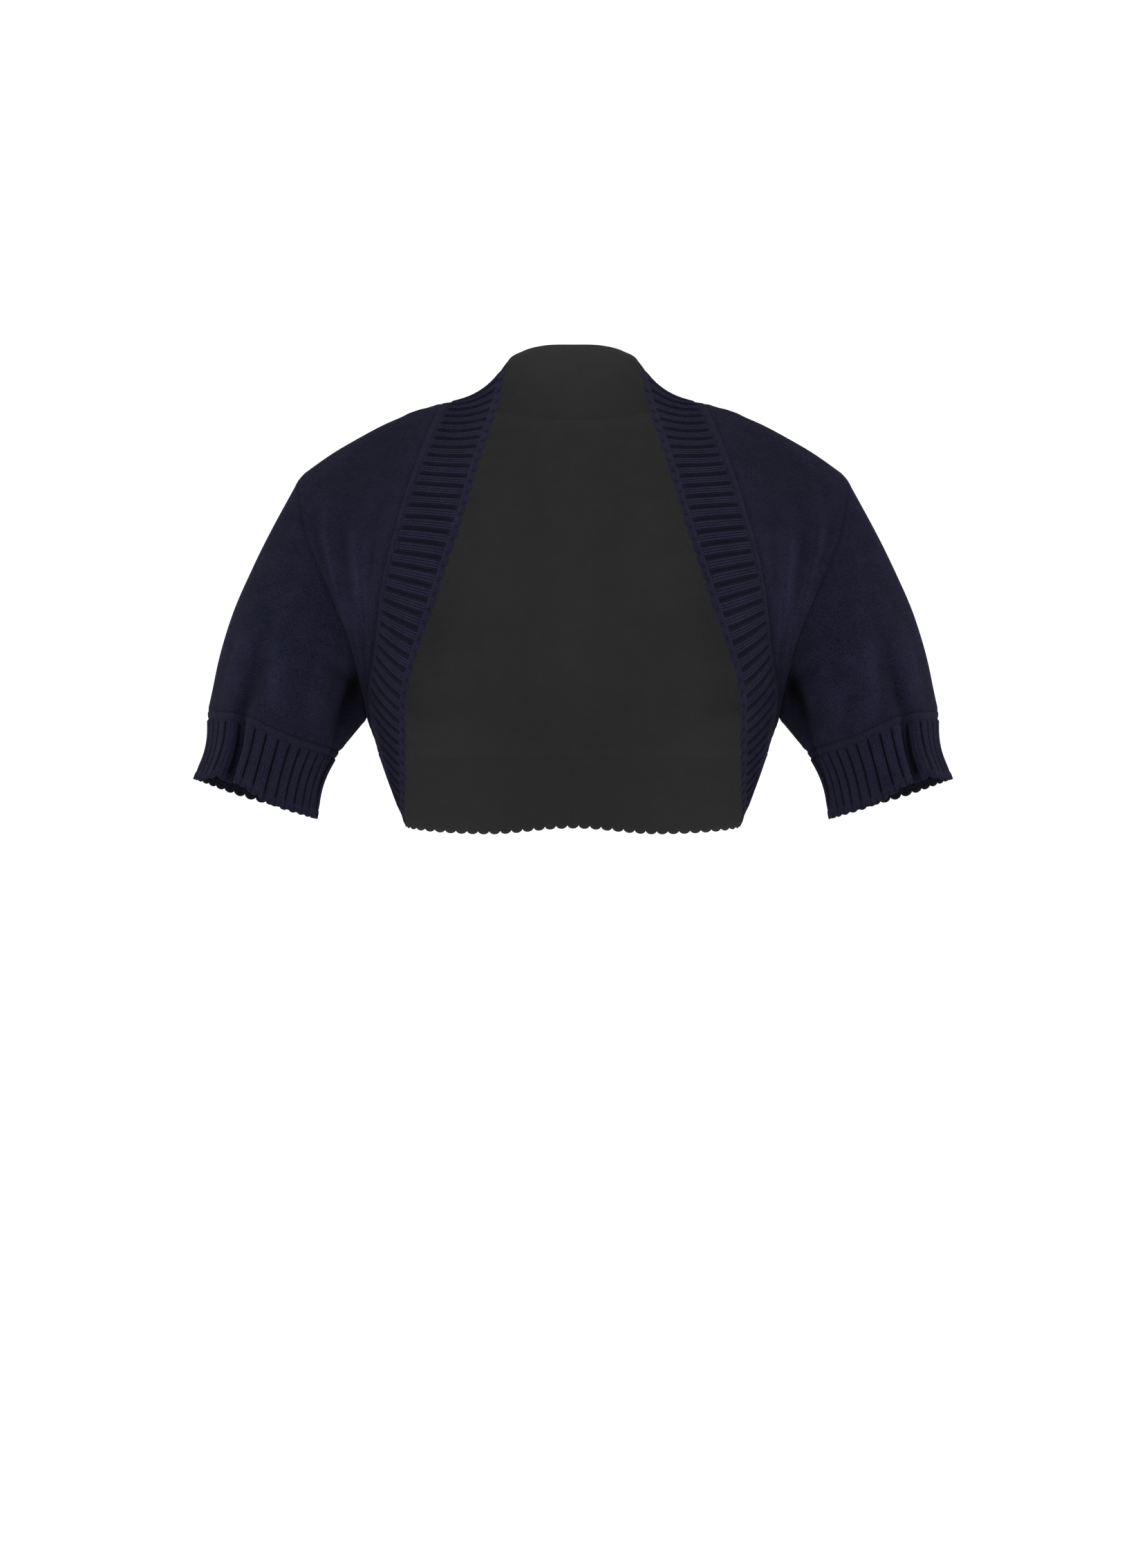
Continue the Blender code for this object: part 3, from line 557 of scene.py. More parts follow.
trim_coarse = whole_trim(1)
neck_seam = trim_coarse[: NECK_RIBS + 1, :3]
front_seam = trim_coarse[NECK_RIBS : NECK_RIBS + FRONT_RIBS + 1, :3]
hem_seam = trim_coarse[NECK_RIBS + FRONT_RIBS :, :3]
front_armhole = armhole(ARMHOLE_FRONT, ARMHOLE_BACK)
back_armhole = armhole(ARMHOLE_BACK, ARMHOLE_FRONT)
shoulder_seam = bowed_line(TRIM[SHOULDER_ROW][1], SHOULDER_TIP, SHOULDER_SEAM_BOW, SHOULDER_STEPS)
side_seam = bowed_line(UNDERARM, TRIM[SIDE_ROW][1], 0.0, SIDE_STEPS)
side_over = bowed_line(UNDERARM, TRIM[SIDE_ROW][1], 0.0, SHOULDER_STEPS)
front_plain = front_surface(front_seam, front_armhole, shoulder_seam, side_over)
back_plain = back_surface(neck_seam, shoulder_seam, hem_seam, back_armhole, side_seam)
armhole_ring = np.vstack([front_armhole[:-1], back_armhole[:0:-1]])
sleeve_plain = sleeve_surface(armhole_ring, SLEEVE_COARSE_RINGS)


def key_of(point):
    return tuple(np.round(point, 6) + 0.0)


def shared_directions():
    """The mean direction of all the surfaces that meet at each coarse point."""
    trim = trim_surface(trim_coarse, (0.0, STRIP_WIDTH))
    turns = np.arange(len(armhole_ring)) / len(armhole_ring)
    reach = cuff_reach(turns)
    cuff = cuff_surface(turns, (0.0, STRIP_WIDTH), reach)
    total = {}
    for grid, sign, closed in (
        (trim, 1, False),
        (front_plain, 1, False),
        (back_plain, -1, False),
        (sleeve_plain, -1, True),
        (cuff, -1, True),
    ):
        directions = normals_of(grid, closed) * sign
        for point, direction in zip(grid.reshape(-1, 3), directions.reshape(-1, 3)):
            total[key_of(point)] = total.get(key_of(point), 0) + unit(direction)
    return {key: on_centre(np.array(key), direction) for key, direction in total.items()}


SHARED = shared_directions()


def directions_at(grid):
    return np.array([[SHARED[key_of(point)] for point in row] for row in grid])


# Cloth between seams

def finer(grid, row_steps, column_steps):
    down = smooth_rows(grid, row_steps)
    return smooth_rows(down.transpose(1, 0, 2), column_steps).transpose(1, 0, 2)


def crease_stand(table, size, over, down, closed=False):
    """How far the small creases stand off a panel, at shares across and down it."""
    width, length = size
    stand = np.zeros(np.broadcast(over, down).shape)
    for _, start, end, spread, rise, bow in table:
        a = np.array(start) * size
        b = np.array(end) * size
        run = np.linalg.norm(b - a)
        along_x, along_y = (b - a) / run
        for lap in (-1, 0, 1) if closed else (0,):
            x = over * width + lap * width - a[0]
            y = down * length - a[1]
            share = (x * along_x + y * along_y) / run
            side = (y * along_x - x * along_y) - bow * 4 * share * (1 - share)
            taper = eased(*CREASE_STARTS, share) * (1 - eased(*CREASE_ENDS, share))
            spreads = np.where(side > 0, spread * CREASE_SIDES[0], spread * CREASE_SIDES[1])
            stand += rise * taper * np.exp(-((side / spreads) ** 2))
    return stand


def held_near(distance, full):
    """0 on a seam and 1 from this far away, in metres."""
    return eased(0.0, full, distance)


def distance_from(grid, sides):
    """How far along the cloth each point is from the nearest of the named sides of its grid."""
    down = np.cumsum(np.linalg.norm(np.diff(grid, axis=0), axis=2), axis=0)
    down = np.concatenate([np.zeros((1, grid.shape[1])), down])
    over = np.cumsum(np.linalg.norm(np.diff(grid, axis=1), axis=2), axis=1)
    over = np.concatenate([np.zeros((grid.shape[0], 1)), over], axis=1)
    ways = {"top": down, "bottom": down[-1:] - down, "left": over, "right": over[:, -1:] - over}
    return np.minimum.reduce([ways[side] for side in sides]), over, down


# Making pieces

def inside_tones(points):
    # Painted shade by height, with painted light towards the sides
    heights, shades = np.array(INSIDE_SHADES).T
    across, up = np.abs(points[..., 0]), points[..., 2]
    upper = eased(*UPPER_SIDE[0], across) * eased(*UPPER_SIDE[1], up)
    lower = eased(*LOWER_SIDE[0], across) * (1 - eased(*LOWER_SIDE[1], up))
    light = 1 + UPPER_SIDE_LIGHT * upper + LOWER_SIDE_LIGHT * lower
    return np.interp(up, heights, shades) * light


# What each of a piece's five grids is multiplied by in its mirror image
FLIP = np.array([-1, 1, 1])
FLIPS = (FLIP, FLIP, FLIP[:2], 1, 1)


def both_halves(skins):
    """The skins of a left half with their mirror images, joined at their first column."""
    return [np.concatenate([half[:, :0:-1] * way, half], axis=1) for half, way in zip(skins, FLIPS)]


def round_to_start(part):
    return np.concatenate([part, part[:, :1]], axis=1)


def mapped_shell(name, skins, materials, closed=False, mirrored=False):
    """A thin wall of cloth. A flat grid is laid out, its faces are doubled, and both skins then take
    their places. skins are five grids: outer points, inner points, pattern coordinates in metres,
    and the painted light and shade of the outer and the inner skin, from painted shade in the gutters
    to painted light on the crests."""
    outer, inner, patterns, tones, inner_tones = skins
    rows, columns = outer.shape[0] - 1, outer.shape[1] - 1
    bm = bmesh.new()
    uv = bm.loops.layers.uv.new("UVMap")
    place = bm.verts.layers.int.new("place")
    # The painted light and shade of each point
    tone = bm.verts.layers.float.new("tone")
    bmesh.ops.create_grid(bm, x_segments=columns, y_segments=rows, size=1.0)
    for n, vert in enumerate(bm.verts):
        vert[place] = n
    flat_patterns = patterns.reshape(-1, 2)
    for face in bm.faces:
        for loop in face.loops:
            loop[uv].uv = flat_patterns[loop.vert[place]]
    skin = set(bm.faces)
    made = bmesh.ops.extrude_face_region(bm, geom=bm.faces[:], use_keep_orig=True)
    lifted = {part for part in made["geom"] if isinstance(part, bmesh.types.BMVert)}
    ways = ((outer, tones, lifted), (inner, inner_tones, set(bm.verts) - lifted))
    for points, shades, verts in ways:
        flat, flat_shades = points.reshape(-1, 3), shades.ravel()
        for vert in verts:
            vert.co = flat[vert[place]]
            vert[tone] = flat_shades[vert[place]]
    for face in skin:
        face.material_index = 1
    if closed:
        bmesh.ops.delete(
            bm,
            geom=[f for f in bm.faces if f not in skin and is_end(f, place, lifted, columns)],
            context="FACES",
        )
        bmesh.ops.remove_doubles(bm, verts=bm.verts, dist=1e-6)
    bmesh.ops.recalc_face_normals(bm, faces=bm.faces)
    bm.faces.ensure_lookup_table()
    probe = next(f for f in bm.faces if f.material_index == 0 and all(v in lifted for v in f.verts))
    middle = probe.verts[0][place]
    outward = outer.reshape(-1, 3)[middle] - inner.reshape(-1, 3)[middle]
    if probe.normal.dot(outward) < 0:
        bmesh.ops.reverse_faces(bm, faces=bm.faces)
    if mirrored:
        bmesh.ops.scale(bm, vec=(-1, 1, 1), verts=bm.verts)
        bmesh.ops.reverse_faces(bm, faces=bm.faces)
    mesh = bpy.data.meshes.new(name)
    bm.to_mesh(mesh)
    bm.free()
    mesh.shade_smooth()
    mesh.set_sharp_from_angle(angle=math.radians(SHARP_ANGLE))
    for material in materials:
        mesh.materials.append(material)
    obj = bpy.data.objects.new(name, mesh)
    bpy.context.scene.collection.objects.link(obj)
    return obj


def is_end(face, place, lifted, columns):
    """True for the side faces that close a flat grid at its first or last column."""
    if all(v in lifted for v in face.verts) or not any(v in lifted for v in face.verts):
        return False
    spots = {v[place] % (columns + 1) for v in face.verts}
    return spots == {0} or spots == {columns}


def ready(obj, node):
    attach(obj, "root")
    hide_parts(node)


def ready_pair(name, node, skins, materials, closed=False):
    """The wearer's left piece and its mirror image."""
    for side, mirrored in (("left", False), ("right", True)):
        made = mapped_shell(f"{name}_{side}", skins, materials, closed, mirrored)
        ready(made, f"{node}_{side}")


# Jersey panels

def jersey_skins(grid, directions, creases, shades, size, seams, closed=False):
    down = np.linspace(0, 1, grid.shape[0])[:, None]
    over = np.linspace(0, 1, grid.shape[1], endpoint=not closed)[None, :]
    near, across, along = distance_from(grid, seams)
    creased = crease_stand(creases, size, over, down, closed) * held_near(near, CREASES_HELD)
    rolled = SEAM_ROLL * np.exp(-(((near - ROLL_PLACE) / ROLL_WIDTH) ** 2))
    stand = creased + rolled - SEAM_DIP * np.exp(-((near / DIP_WIDTH) ** 2))
    outer = grid + directions * (stand + JERSEY_OUT)[:, :, None]
    inner = grid + directions * (stand * held_near(near, INNER_HELD) - JERSEY_IN)[:, :, None]
    # Painted light on the creases' ridges and painted shade in their troughs, a darker line along the
    # seams, and the painted light and shade of the table of shades
    tones = 1.0 - SEAM_SHADE * np.exp(-((near / LINE_WIDTH) ** 2)) + CREASE_LIGHT * creased
    tones = tones + crease_stand(shades, size, over, down, closed)
    if closed:
        outer, inner, tones, along = (round_to_start(part) for part in (outer, inner, tones, along))
        whole_width = round(size[0] / WALE_WIDTH) * WALE_WIDTH
        across = np.broadcast_to(np.linspace(0, whole_width, along.shape[1])[None, :], along.shape)
    return [outer, inner, np.stack([across, along], axis=2), tones, inside_tones(inner)]


# The trim

def rib_profile(share):
    """Height of the rib and of its wales at shares of one rib's width, from one gutter to the next, and
    its painted shade, dark in the gutter and light on the rib and its wales.
    """
    gutter, raised, gutter_wale, raised_wale = RIB_SHADES
    body = eased(*RIB_SIDE, share) * eased(*RIB_SIDE, 1 - share)
    wales = np.abs(np.sin(np.pi * share * WALES_A_RIB))
    tone = gutter + raised * body + wales**2.5 * (gutter_wale + raised_wale * body)
    return RIB_RISE * body + WALE_RISE * (wales - 0.5) * (0.35 + 0.65 * body), tone


# A cuff's rib: its height, and its painted shade, dark in the gutter and light on the rib and its wales
def cuff_rib_profile(share):
    gutter, raised, wale = CUFF_RIB_SHADES
    body = eased(*CUFF_RIB_SIDE, share) * eased(*CUFF_RIB_SIDE, 1 - share)
    wales = np.abs(np.sin(np.pi * share * CUFF_WALES_A_RIB))
    tone = gutter + raised * body + wale * (wales - 0.4) * body
    return RIB_RISE * body + WALE_RISE * 0.5 * (wales - 0.5) * body, tone


def lobe(share, scalloped=1.0):
    """A scallop round each gutter, with a notch at the middle of each rib."""
    off = np.abs(((share + 0.5) % 1.0) - 0.5) * 2
    tip, notch = LOBE_ROUNDNESS
    return 1 - scalloped * (1 - np.clip(1 - off**tip, 0, 1) ** notch)


# The trim's fine rows: shares of the strip along the seam, the first steps of the ribs below it, and
# shares of the strip along the scalloped edge
STRIP_SHARES = (0.0, 0.10, 0.22, 0.40, 0.60, 0.78, 0.90, 1.0)
RIB_STARTS = (0.0007, 0.0015, 0.0027)
RIB_MIDDLES = 9
EDGE_SHARES = (-0.22, 0.0, 0.18, 0.40, 0.62, 0.80, 0.91, 1.0)


def trim_lines(reach, lobes, strip, edge):
    """Distances from the seam of the trim's fine rows, and where the edge strip starts."""
    start = reach - SCALLOP_DEPTH - edge
    lines = [strip * share for share in STRIP_SHARES] + [strip + past for past in RIB_STARTS]
    first, last = lines[-1], start + EDGE_SHARES[0] * edge
    lines += [first + (last - first) * n / (RIB_MIDDLES + 1) for n in range(1, RIB_MIDDLES + 1)]
    for share in EDGE_SHARES:
        lines.append(start + share * edge + SCALLOP_DEPTH * lobes * max(share, 0.0) ** 1.5)
    return lines, start


def trim_stand(lines, start, profile, lobes, strip, edge, runs_on):
    """How far each point of the trim's outer skin stands off its plain surface, and its painted light
    and shade. runs_on is how much of the ribs is left in the edge strip."""
    ribs, shades = profile
    stands, tones = [], []
    for width in lines:
        below, past = width - strip, width - start
        flat = 1 - np.clip(np.abs(width / strip - STRIP_MIDDLE) / STRIP_HALF, 0, 1) ** 3
        dip = SEAM_DIP * np.exp(-((width / TRIM_DIP_WIDTH) ** 2))
        dip = dip + STRIP_DIP * np.exp(-((below / STRIP_DIP_WIDTH) ** 2))
        ribbed = ribs * eased(*RIBS_BEGIN, below) * (1 - (1 - runs_on) * eased(*RIBS_END, past))
        puff = eased(*EDGE_BEGINS, past) * (1 - 0.75 * eased(*EDGE_THINS, past / edge))
        edging = EDGE_RISE * (1 - 0.8 * runs_on) * puff * (0.70 + 0.45 * lobes)
        stands.append(STRIP_RISE * flat * (below < RIB_STARTS[0] + 1e-4) - dip + ribbed + edging)
        # Painted light and shade: a darker line on the seam, painted light on the edge strip and along
        # its chain, painted shadow in the notches, and the ribs' painted shade among the ribs
        edged = eased(*EDGE_SHADE_BEGINS, past)
        among_ribs = eased(*RIB_SHADE_BEGINS, below) * (1 - (1 - runs_on) * edged)
        line = SEAM_SHADE * np.exp(-((width / TRIM_LINE_WIDTH) ** 2))
        chain = CHAIN_LIGHT * np.exp(-(((past - CHAIN_PLACE) / CHAIN_WIDTH) ** 2))
        notch = NOTCH_SHADE * (1 - lobes) * eased(*NOTCHES_BEGIN, past)
        plain = 1.0 - line + EDGE_LIGHT * edged + chain - notch
        tones.append(plain * (1 - among_ribs) + shades * among_ribs)
    return np.concatenate(stands, axis=1).T, np.concatenate(tones, axis=1).T


def blended_directions(own, seam_directions):
    """A trim's own directions, turned to the seam's shared ones in its first rows."""
    for n in range(TRIM_SHARED_ROWS):
        share = n / TRIM_SHARED_ROWS
        own[n] = unit(seam_directions * (1 - share) + own[n] * share)
    return own


def trim_skins(surface, directions, stand):
    outer = surface + directions * stand[:, :, None]
    thinner = np.zeros(surface.shape[0])
    thinner[-len(EDGE_THINNED) :] = EDGE_THINNED
    inner = surface - directions * (TRIM_IN * (1 - thinner))[:, None, None]
    return outer, inner


def side_ridge(lines, places):
    """The soft ridge across the trim under the arm, from 0 to 1."""
    middle = np.interp(places, RIDGE_PLACES, RIDGE_DISTANCES)
    reached = eased(RIDGE_PLACES[0] - 1, RIDGE_PLACES[1], places)
    reached = reached * (1 - eased(RIDGE_PLACES[3], RIDGE_PLACES[4] + 1, places))
    widths = np.concatenate(lines, axis=1).T
    return reached[None, :] * np.exp(-(((widths - middle[None, :]) / RIDGE_WIDTH) ** 2))


def build_trim(materials):
    stations = whole_trim(TRIM_RIB_COLUMNS)
    places = np.arange(len(stations)) / TRIM_RIB_COLUMNS
    share = (places % 1.0)[:, None]
    reach = np.linalg.norm(stations[:, 3:6] - stations[:, :3], axis=1, keepdims=True)
    lobes = lobe(share, eased(*STRAIGHT_RIBS, places)[:, None])
    corner = np.exp(-(((places - CORNER_PLACE) / CORNER_SPREAD) ** 2))[:, None]
    strip = STRIP_WIDTH + CORNER_STRIP * corner
    lines, start = trim_lines(reach, lobes, strip, EDGE_STRIP)
    surface = trim_surface(stations, lines)
    own = on_centre(surface, normals_of(surface))
    coarse = directions_at(trim_coarse[None, :, :3])[0]
    seam_directions = unit(read_at(coarse, np.arange(len(coarse)), places))
    directions = blended_directions(own, seam_directions)
    stand, tones = trim_stand(lines, start, rib_profile(share), lobes, strip, EDGE_STRIP, 0.0)
    ridge = side_ridge(lines, places)
    stand = stand * (1 - RIDGE_MIX * ridge) + RIDGE_RISE * ridge
    # A painted highlight along the ridge across the trim
    tones = tones * (1 - RIDGE_MIX * ridge) + RIDGE_TONE * RIDGE_MIX * ridge
    outer, inner = trim_skins(surface, directions, stand)
    wale = places * WALES_A_RIB * WALE_WIDTH
    along = np.concatenate(lines, axis=1).T
    patterns = np.stack([np.broadcast_to(wale[None, :], along.shape), along], axis=2)
    skins = [outer, inner, patterns, tones, inside_tones(inner)]
    shoulder = NECK_RIBS * TRIM_RIB_COLUMNS
    side = (NECK_RIBS + FRONT_RIBS) * TRIM_RIB_COLUMNS
    neck = both_halves([part[:, : shoulder + 1] for part in skins])
    hem = both_halves([part[:, side:][:, ::-1] for part in skins])
    for name, node, part in (("neck_trim", "neck_band", neck), ("hem_trim", "hem_band", hem)):
        ready(mapped_shell(name, part, materials), node)
    front = [part[:, shoulder : side + 1] for part in skins]
    ready_pair("front_trim", "front_band", front, materials)


def directions_round(row, turns):
    """The directions that the pieces share round a coarse row of the sleeve, at shares of a turn."""
    coarse = round_to_start(directions_at(sleeve_plain[row][None]))[0]
    coarse_turns = np.arange(len(coarse)) / (len(coarse) - 1)
    return unit(read_at(coarse, coarse_turns, turns))


def build_cuffs(materials):
    count = CUFF_RIBS * CUFF_RIB_COLUMNS
    turns = np.arange(count) / count
    share = (np.arange(count) / CUFF_RIB_COLUMNS % 1.0)[:, None]
    reach = cuff_reach(turns)
    lobes = lobe(share)
    strip = np.full_like(reach, STRIP_WIDTH)
    lines, start = trim_lines(reach, lobes, strip, CUFF_EDGE_STRIP)
    surface = cuff_surface(turns, lines, reach)
    own = unit(-normals_of(surface, closed=True))
    directions = blended_directions(own, directions_round(-1, turns))
    profile = cuff_rib_profile(share)
    stand, tones = trim_stand(lines, start, profile, lobes, strip, CUFF_EDGE_STRIP, CUFF_EDGE_RIBBED)
    # Painted shade in the tuck's slit, growing from the seam to full strength halfway down the cuff
    slit = np.exp(-(((turns * 360 - TUCK_ANGLE) / TUCK_WIDTH) ** 2))
    fallen = np.concatenate(lines, axis=1).T / reach.T
    tones = tones * (1 - TUCK_SHADE * slit[None, :] * eased(0.0, 0.5, fallen))
    outer, inner = trim_skins(surface, directions, stand)
    outer, inner, tones = (round_to_start(part) for part in (outer, inner, tones))
    along = round_to_start(np.concatenate(lines, axis=1).T)
    wale = np.arange(count + 1) / CUFF_RIB_COLUMNS * WALES_A_RIB * WALE_WIDTH
    patterns = np.stack([np.broadcast_to(wale[None, :], along.shape), along], axis=2)
    skins = [outer, inner, patterns, tones, tones]
    ready_pair("cuff_trim", "cuff", skins, materials, closed=True)


def build_fronts(materials):
    grid = finer(front_plain, *FRONT_FINER)
    directions = unit(finer(directions_at(front_plain), *FRONT_FINER))
    sides = ("top", "bottom", "left", "right")
    skins = jersey_skins(grid, directions, FRONT_CREASES, FRONT_SHADES, PANEL_SIZES["front"], sides)
    ready_pair("front_panel", "front", skins, materials)


def build_back(materials):
    grid = relaxed(finer(back_plain, *BACK_FINER), BACK_EVENED)
    directions = unit(finer(directions_at(back_plain), *BACK_FINER))
    outward = -unit(normals_of(grid))
    sides = ("top", "bottom", "right")
    held = held_near(distance_from(grid, sides)[0], BACK_HELD)[:, :, None]
    directions = on_centre(grid, directions * (1 - held) + outward * held)
    skins = jersey_skins(grid, directions, BACK_CREASES, (), PANEL_SIZES["back"], sides)
    ready(mapped_shell("back_panel", both_halves(skins), materials), "back")


def build_sleeves(materials):
    closing = np.vstack([armhole_ring, armhole_ring[:1]])
    fine_ring = smooth_rows(closing, SLEEVE_FINER, first=armhole_ring[-1], last=armhole_ring[1])[:-1]
    grid = sleeve_surface(fine_ring, SLEEVE_RINGS)
    directions = unit(-normals_of(grid, closed=True))
    turns = np.arange(len(fine_ring)) / len(fine_ring)
    for end, step in ((0, 1), (-1, -1)):
        seam_directions = directions_round(end, turns)
        for n in range(SLEEVE_SHARED_ROWS):
            row, share = end + step * n, n / SLEEVE_SHARED_ROWS
            directions[row] = unit(seam_directions * (1 - share) + directions[row] * share)
    size, sides = PANEL_SIZES["sleeve"], ("top", "bottom")
    skins = jersey_skins(grid, directions, SLEEVE_CREASES, SLEEVE_SHADES, size, sides, closed=True)
    ready_pair("sleeve_tube", "sleeve", skins, materials, closed=True)


# Materials

def link_math(tree, operation, *inputs):
    node = tree.nodes.new("ShaderNodeMath")
    node.operation = operation
    for socket, value in zip(node.inputs, inputs):
        if isinstance(value, (int, float)):
            socket.default_value = value
        else:
            tree.links.new(value, socket)
    return node.outputs[0]


def knit_group():
    """Knit stitches: columns of small V shapes. Height is 0 in the gaps and 1 on the yarn, and Gap is
    the mask of the spaces between stitches, where the material paints shade."""
    group = bpy.data.node_groups.new("knit stitches", "ShaderNodeTree")
    face = group.interface
    face.new_socket("Pattern", in_out="INPUT", socket_type="NodeSocketVector")
    for name, value in (("Wale width", WALE_WIDTH), ("Course height", COURSE_HEIGHT)):
        face.new_socket(name, in_out="INPUT", socket_type="NodeSocketFloat").default_value = value
    face.new_socket("Height", in_out="OUTPUT", socket_type="NodeSocketFloat")
    face.new_socket("Gap", in_out="OUTPUT", socket_type="NodeSocketFloat")
    inside = group.nodes.new("NodeGroupInput")
    outside = group.nodes.new("NodeGroupOutput")
    split = group.nodes.new("ShaderNodeSeparateXYZ")
    group.links.new(inside.outputs["Pattern"], split.inputs[0])
    wale = link_math(group, "DIVIDE", split.outputs[0], inside.outputs["Wale width"])
    course = link_math(group, "DIVIDE", split.outputs[1], inside.outputs["Course height"])
    side = link_math(group, "SUBTRACT", link_math(group, "FRACT", wale), 0.5)
    side = link_math(group, "ABSOLUTE", side)
    slanted = link_math(group, "ADD", course, link_math(group, "MULTIPLY", side, STITCH_SLANT))
    wave = link_math(group, "COSINE", link_math(group, "MULTIPLY", slanted, 2 * math.pi))
    yarn = link_math(group, "MULTIPLY_ADD", wave, 0.5, 0.5)
    off = link_math(group, "SUBTRACT", link_math(group, "MULTIPLY", side, 4.0), 1.0)
    leg = link_math(group, "SUBTRACT", 1.0, link_math(group, "MULTIPLY", off, off))
    leg = link_math(group, "MAXIMUM", leg, 0.0)
    height = link_math(group, "MULTIPLY", link_math(group, "POWER", yarn, YARN_ROUNDNESS), leg)
    group.links.new(height, outside.inputs["Height"])
    gap = link_math(group, "SUBTRACT", 1.0, link_math(group, "POWER", height, GAP_SOFTNESS))
    group.links.new(gap, outside.inputs["Gap"])
    return group


def heather_group():
    """Uneven dye and loose fibres: Shade is centred on 1, and Tint is a soft change of hue."""
    group = bpy.data.node_groups.new("heather", "ShaderNodeTree")
    face = group.interface
    numbers = (("Fleck scale", 1500.0), ("Fleck", 0.25), ("Cloud scale", 70.0), ("Cloud", 0.10))
    for name, value in numbers:
        face.new_socket(name, in_out="INPUT", socket_type="NodeSocketFloat").default_value = value
    face.new_socket("Shade", in_out="OUTPUT", socket_type="NodeSocketFloat")
    face.new_socket("Tint", in_out="OUTPUT", socket_type="NodeSocketFloat")
    inside = group.nodes.new("NodeGroupInput")
    outside = group.nodes.new("NodeGroupOutput")
    where = group.nodes.new("ShaderNodeTexCoord")
    shades = []
    for scale, amount in (("Fleck scale", "Fleck"), ("Cloud scale", "Cloud")):
        noise = group.nodes.new("ShaderNodeTexNoise")
        noise.inputs["Detail"].default_value = 3.0
        group.links.new(where.outputs["Object"], noise.inputs["Vector"])
        group.links.new(inside.outputs[scale], noise.inputs["Scale"])
        centred = link_math(group, "SUBTRACT", noise.outputs["Fac"], 0.5)
        shades.append(link_math(group, "MULTIPLY", centred, inside.outputs[amount]))
        last = noise
    total = link_math(group, "ADD", shades[0], shades[1])
    shade = link_math(group, "MULTIPLY_ADD", total, 2.0, 1.0)
    group.links.new(shade, outside.inputs["Shade"])
    group.links.new(last.outputs["Fac"], outside.inputs["Tint"])
    return group


KNIT = knit_group()
HEATHER = heather_group()


def knit_material(name, base, tinted, gap_shade, bump, sheen, fleck, cloud):
    material = bpy.data.materials.new(name)
    material.use_nodes = True
    tree = material.node_tree
    shader = tree.nodes["Principled BSDF"]
    shader.inputs["Roughness"].default_value = 0.95
    shader.inputs["Specular IOR Level"].default_value = 0.03
    shader.inputs["Sheen Weight"].default_value = sheen
    shader.inputs["Sheen Roughness"].default_value = 0.45
    shader.inputs["Sheen Tint"].default_value = (0.55, 0.56, 0.80, 1.0)
    where = tree.nodes.new("ShaderNodeUVMap")
    where.uv_map = "UVMap"
    knit = tree.nodes.new("ShaderNodeGroup")
    knit.node_tree = KNIT
    tree.links.new(where.outputs[0], knit.inputs["Pattern"])
    heather = tree.nodes.new("ShaderNodeGroup")
    heather.node_tree = HEATHER
    heather.inputs["Fleck"].default_value = fleck
    heather.inputs["Cloud"].default_value = cloud
    mix = tree.nodes.new("ShaderNodeMix")
    mix.data_type = "RGBA"
    mix.inputs["A"].default_value = (*base, 1)
    mix.inputs["B"].default_value = (*tinted, 1)
    tree.links.new(heather.outputs["Tint"], mix.inputs["Factor"])
    # The painted light and shade of the cloth, kept on its points
    painted_light_and_shade = tree.nodes.new("ShaderNodeAttribute")
    painted_light_and_shade.attribute_name = "tone"
    # Painted shade in the gaps between stitches, times the heather's uneven dye and the painted light
    # and shade of the points
    gap = link_math(tree, "MULTIPLY_ADD", knit.outputs["Gap"], -gap_shade, 1.0)
    shade = link_math(tree, "MULTIPLY", gap, heather.outputs["Shade"])
    shade = link_math(tree, "MULTIPLY", shade, painted_light_and_shade.outputs["Fac"])
    tone = tree.nodes.new("ShaderNodeVectorMath")
    tone.operation = "SCALE"
    tree.links.new(mix.outputs["Result"], tone.inputs[0])
    tree.links.new(shade, tone.inputs["Scale"])
    tree.links.new(tone.outputs[0], shader.inputs["Base Color"])
    bumps = tree.nodes.new("ShaderNodeBump")
    bumps.inputs["Strength"].default_value = 1.0
    bumps.inputs["Distance"].default_value = bump
    tree.links.new(knit.outputs["Height"], bumps.inputs["Height"])
    tree.links.new(bumps.outputs[0], shader.inputs["Normal"])
    return material


JERSEY = knit_material(
    "navy jersey",
    base=(0.0092, 0.0107, 0.0257),
    tinted=(0.0140, 0.0121, 0.0258),
    gap_shade=0.45,
    bump=0.00045,
    sheen=0.025,
    fleck=1.60,
    cloud=0.26,
)
RIB = knit_material(
    "navy rib",
    base=(0.0113, 0.0123, 0.0278),
    tinted=(0.0155, 0.0140, 0.0284),
    gap_shade=0.50,
    bump=0.00040,
    sheen=0.025,
    fleck=1.40,
    cloud=0.18,
)
INSIDE = knit_material(
    "charcoal inside",
    base=(0.0320, 0.0320, 0.0322),
    tinted=(0.0335, 0.0335, 0.0330),
    gap_shade=0.10,
    bump=0.00010,
    sheen=0.0,
    fleck=0.10,
    cloud=0.06,
)
# The inside of the cuff: the navy rib with painted shade, a darker and greyer copy of it
CUFF_INSIDE = knit_material(
    "shaded inside of cuff",
    base=(0.0100, 0.0103, 0.0180),
    tinted=(0.0112, 0.0113, 0.0186),
    gap_shade=0.40,
    bump=0.00030,
    sheen=0.0,
    fleck=0.5,
    cloud=0.10,
)

build_fronts([JERSEY, INSIDE])
build_back([JERSEY, INSIDE])
build_sleeves([JERSEY, INSIDE])
build_trim([RIB, INSIDE])
build_cuffs([RIB, CUFF_INSIDE])


# Floor, light and camera

FLOOR_RADIUS = 40.0
FLOOR_HEIGHT = -0.75
SURROUND_STRENGTH = 1.12

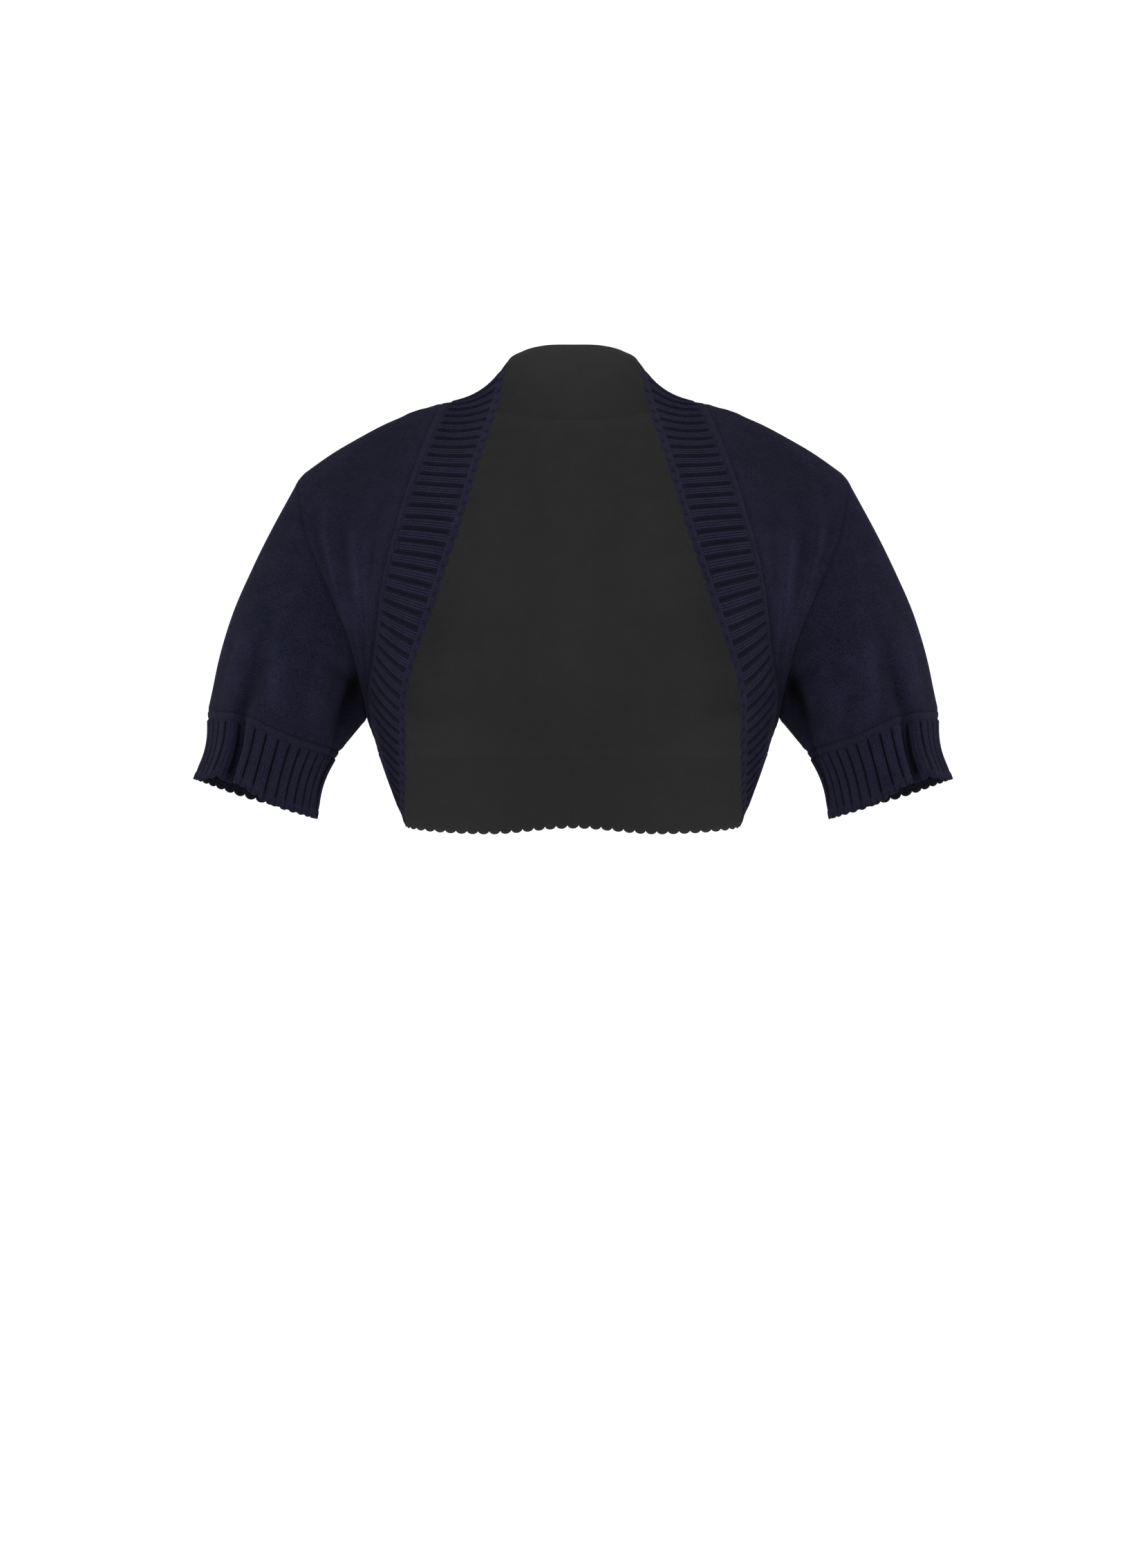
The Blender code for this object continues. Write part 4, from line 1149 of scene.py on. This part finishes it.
# Soft lights: name, place, target, size in metres, and power in watts
SOFT_LIGHTS = (
    ("front", (0.0, -2.6, 1.2), (0.0, 0.0, -0.12), (2.0, 1.2), 22),
    ("side left", (2.4, -0.8, 0.5), (0.1, 0.0, -0.12), (1.0, 1.6), 14),
    ("side right", (-2.4, -0.8, 0.5), (-0.1, 0.0, -0.12), (1.0, 1.6), 14),
)
CAMERA_PLACE = (-0.0022, -3.15, -0.267)
CAMERA_LENS = 100
SENSOR_WIDTH = 36


def plain_floor():
    bm = bmesh.new()
    bmesh.ops.create_circle(bm, cap_ends=True, segments=96, radius=FLOOR_RADIUS)
    bmesh.ops.translate(bm, vec=(0, 0, FLOOR_HEIGHT), verts=bm.verts)
    mesh = bpy.data.meshes.new("floor")
    bm.to_mesh(mesh)
    bm.free()
    material = bpy.data.materials.new("pale floor")
    material.use_nodes = True
    shader = material.node_tree.nodes["Principled BSDF"]
    shader.inputs["Base Color"].default_value = (0.95, 0.95, 0.95, 1)
    shader.inputs["Roughness"].default_value = 0.9
    mesh.materials.append(material)
    floor = bpy.data.objects.new("floor", mesh)
    bpy.context.scene.collection.objects.link(floor)


def soft_light(name, place, target, size, power):
    data = bpy.data.lights.new(name, "AREA")
    data.shape = "RECTANGLE"
    data.size, data.size_y = size
    data.energy = power
    light = bpy.data.objects.new(name, data)
    bpy.context.scene.collection.objects.link(light)
    light.location = place
    aim = Vector(target) - Vector(place)
    light.rotation_euler = aim.to_track_quat("-Z", "Y").to_euler()


def white_surround(strength):
    world = bpy.data.worlds.new("white surround")
    world.use_nodes = True
    background = world.node_tree.nodes["Background"]
    background.inputs["Color"].default_value = (1, 1, 1, 1)
    background.inputs["Strength"].default_value = strength
    bpy.context.scene.world = world


plain_floor()
white_surround(SURROUND_STRENGTH)
for light in SOFT_LIGHTS:
    soft_light(*light)

# The photograph's frame: 1649 by 2268 pixels, with the sensor's width along the long side
camera_data = bpy.data.cameras.new("camera")
camera_data.lens = CAMERA_LENS
camera_data.sensor_width = SENSOR_WIDTH
camera_data.sensor_fit = "AUTO"
camera_data.clip_end = 200
camera = bpy.data.objects.new("camera", camera_data)
bpy.context.scene.collection.objects.link(camera)
camera.location = CAMERA_PLACE
camera.rotation_euler = (math.pi / 2, 0, 0)
bpy.context.scene.camera = camera
bpy.context.scene.view_settings.view_transform = "Standard"
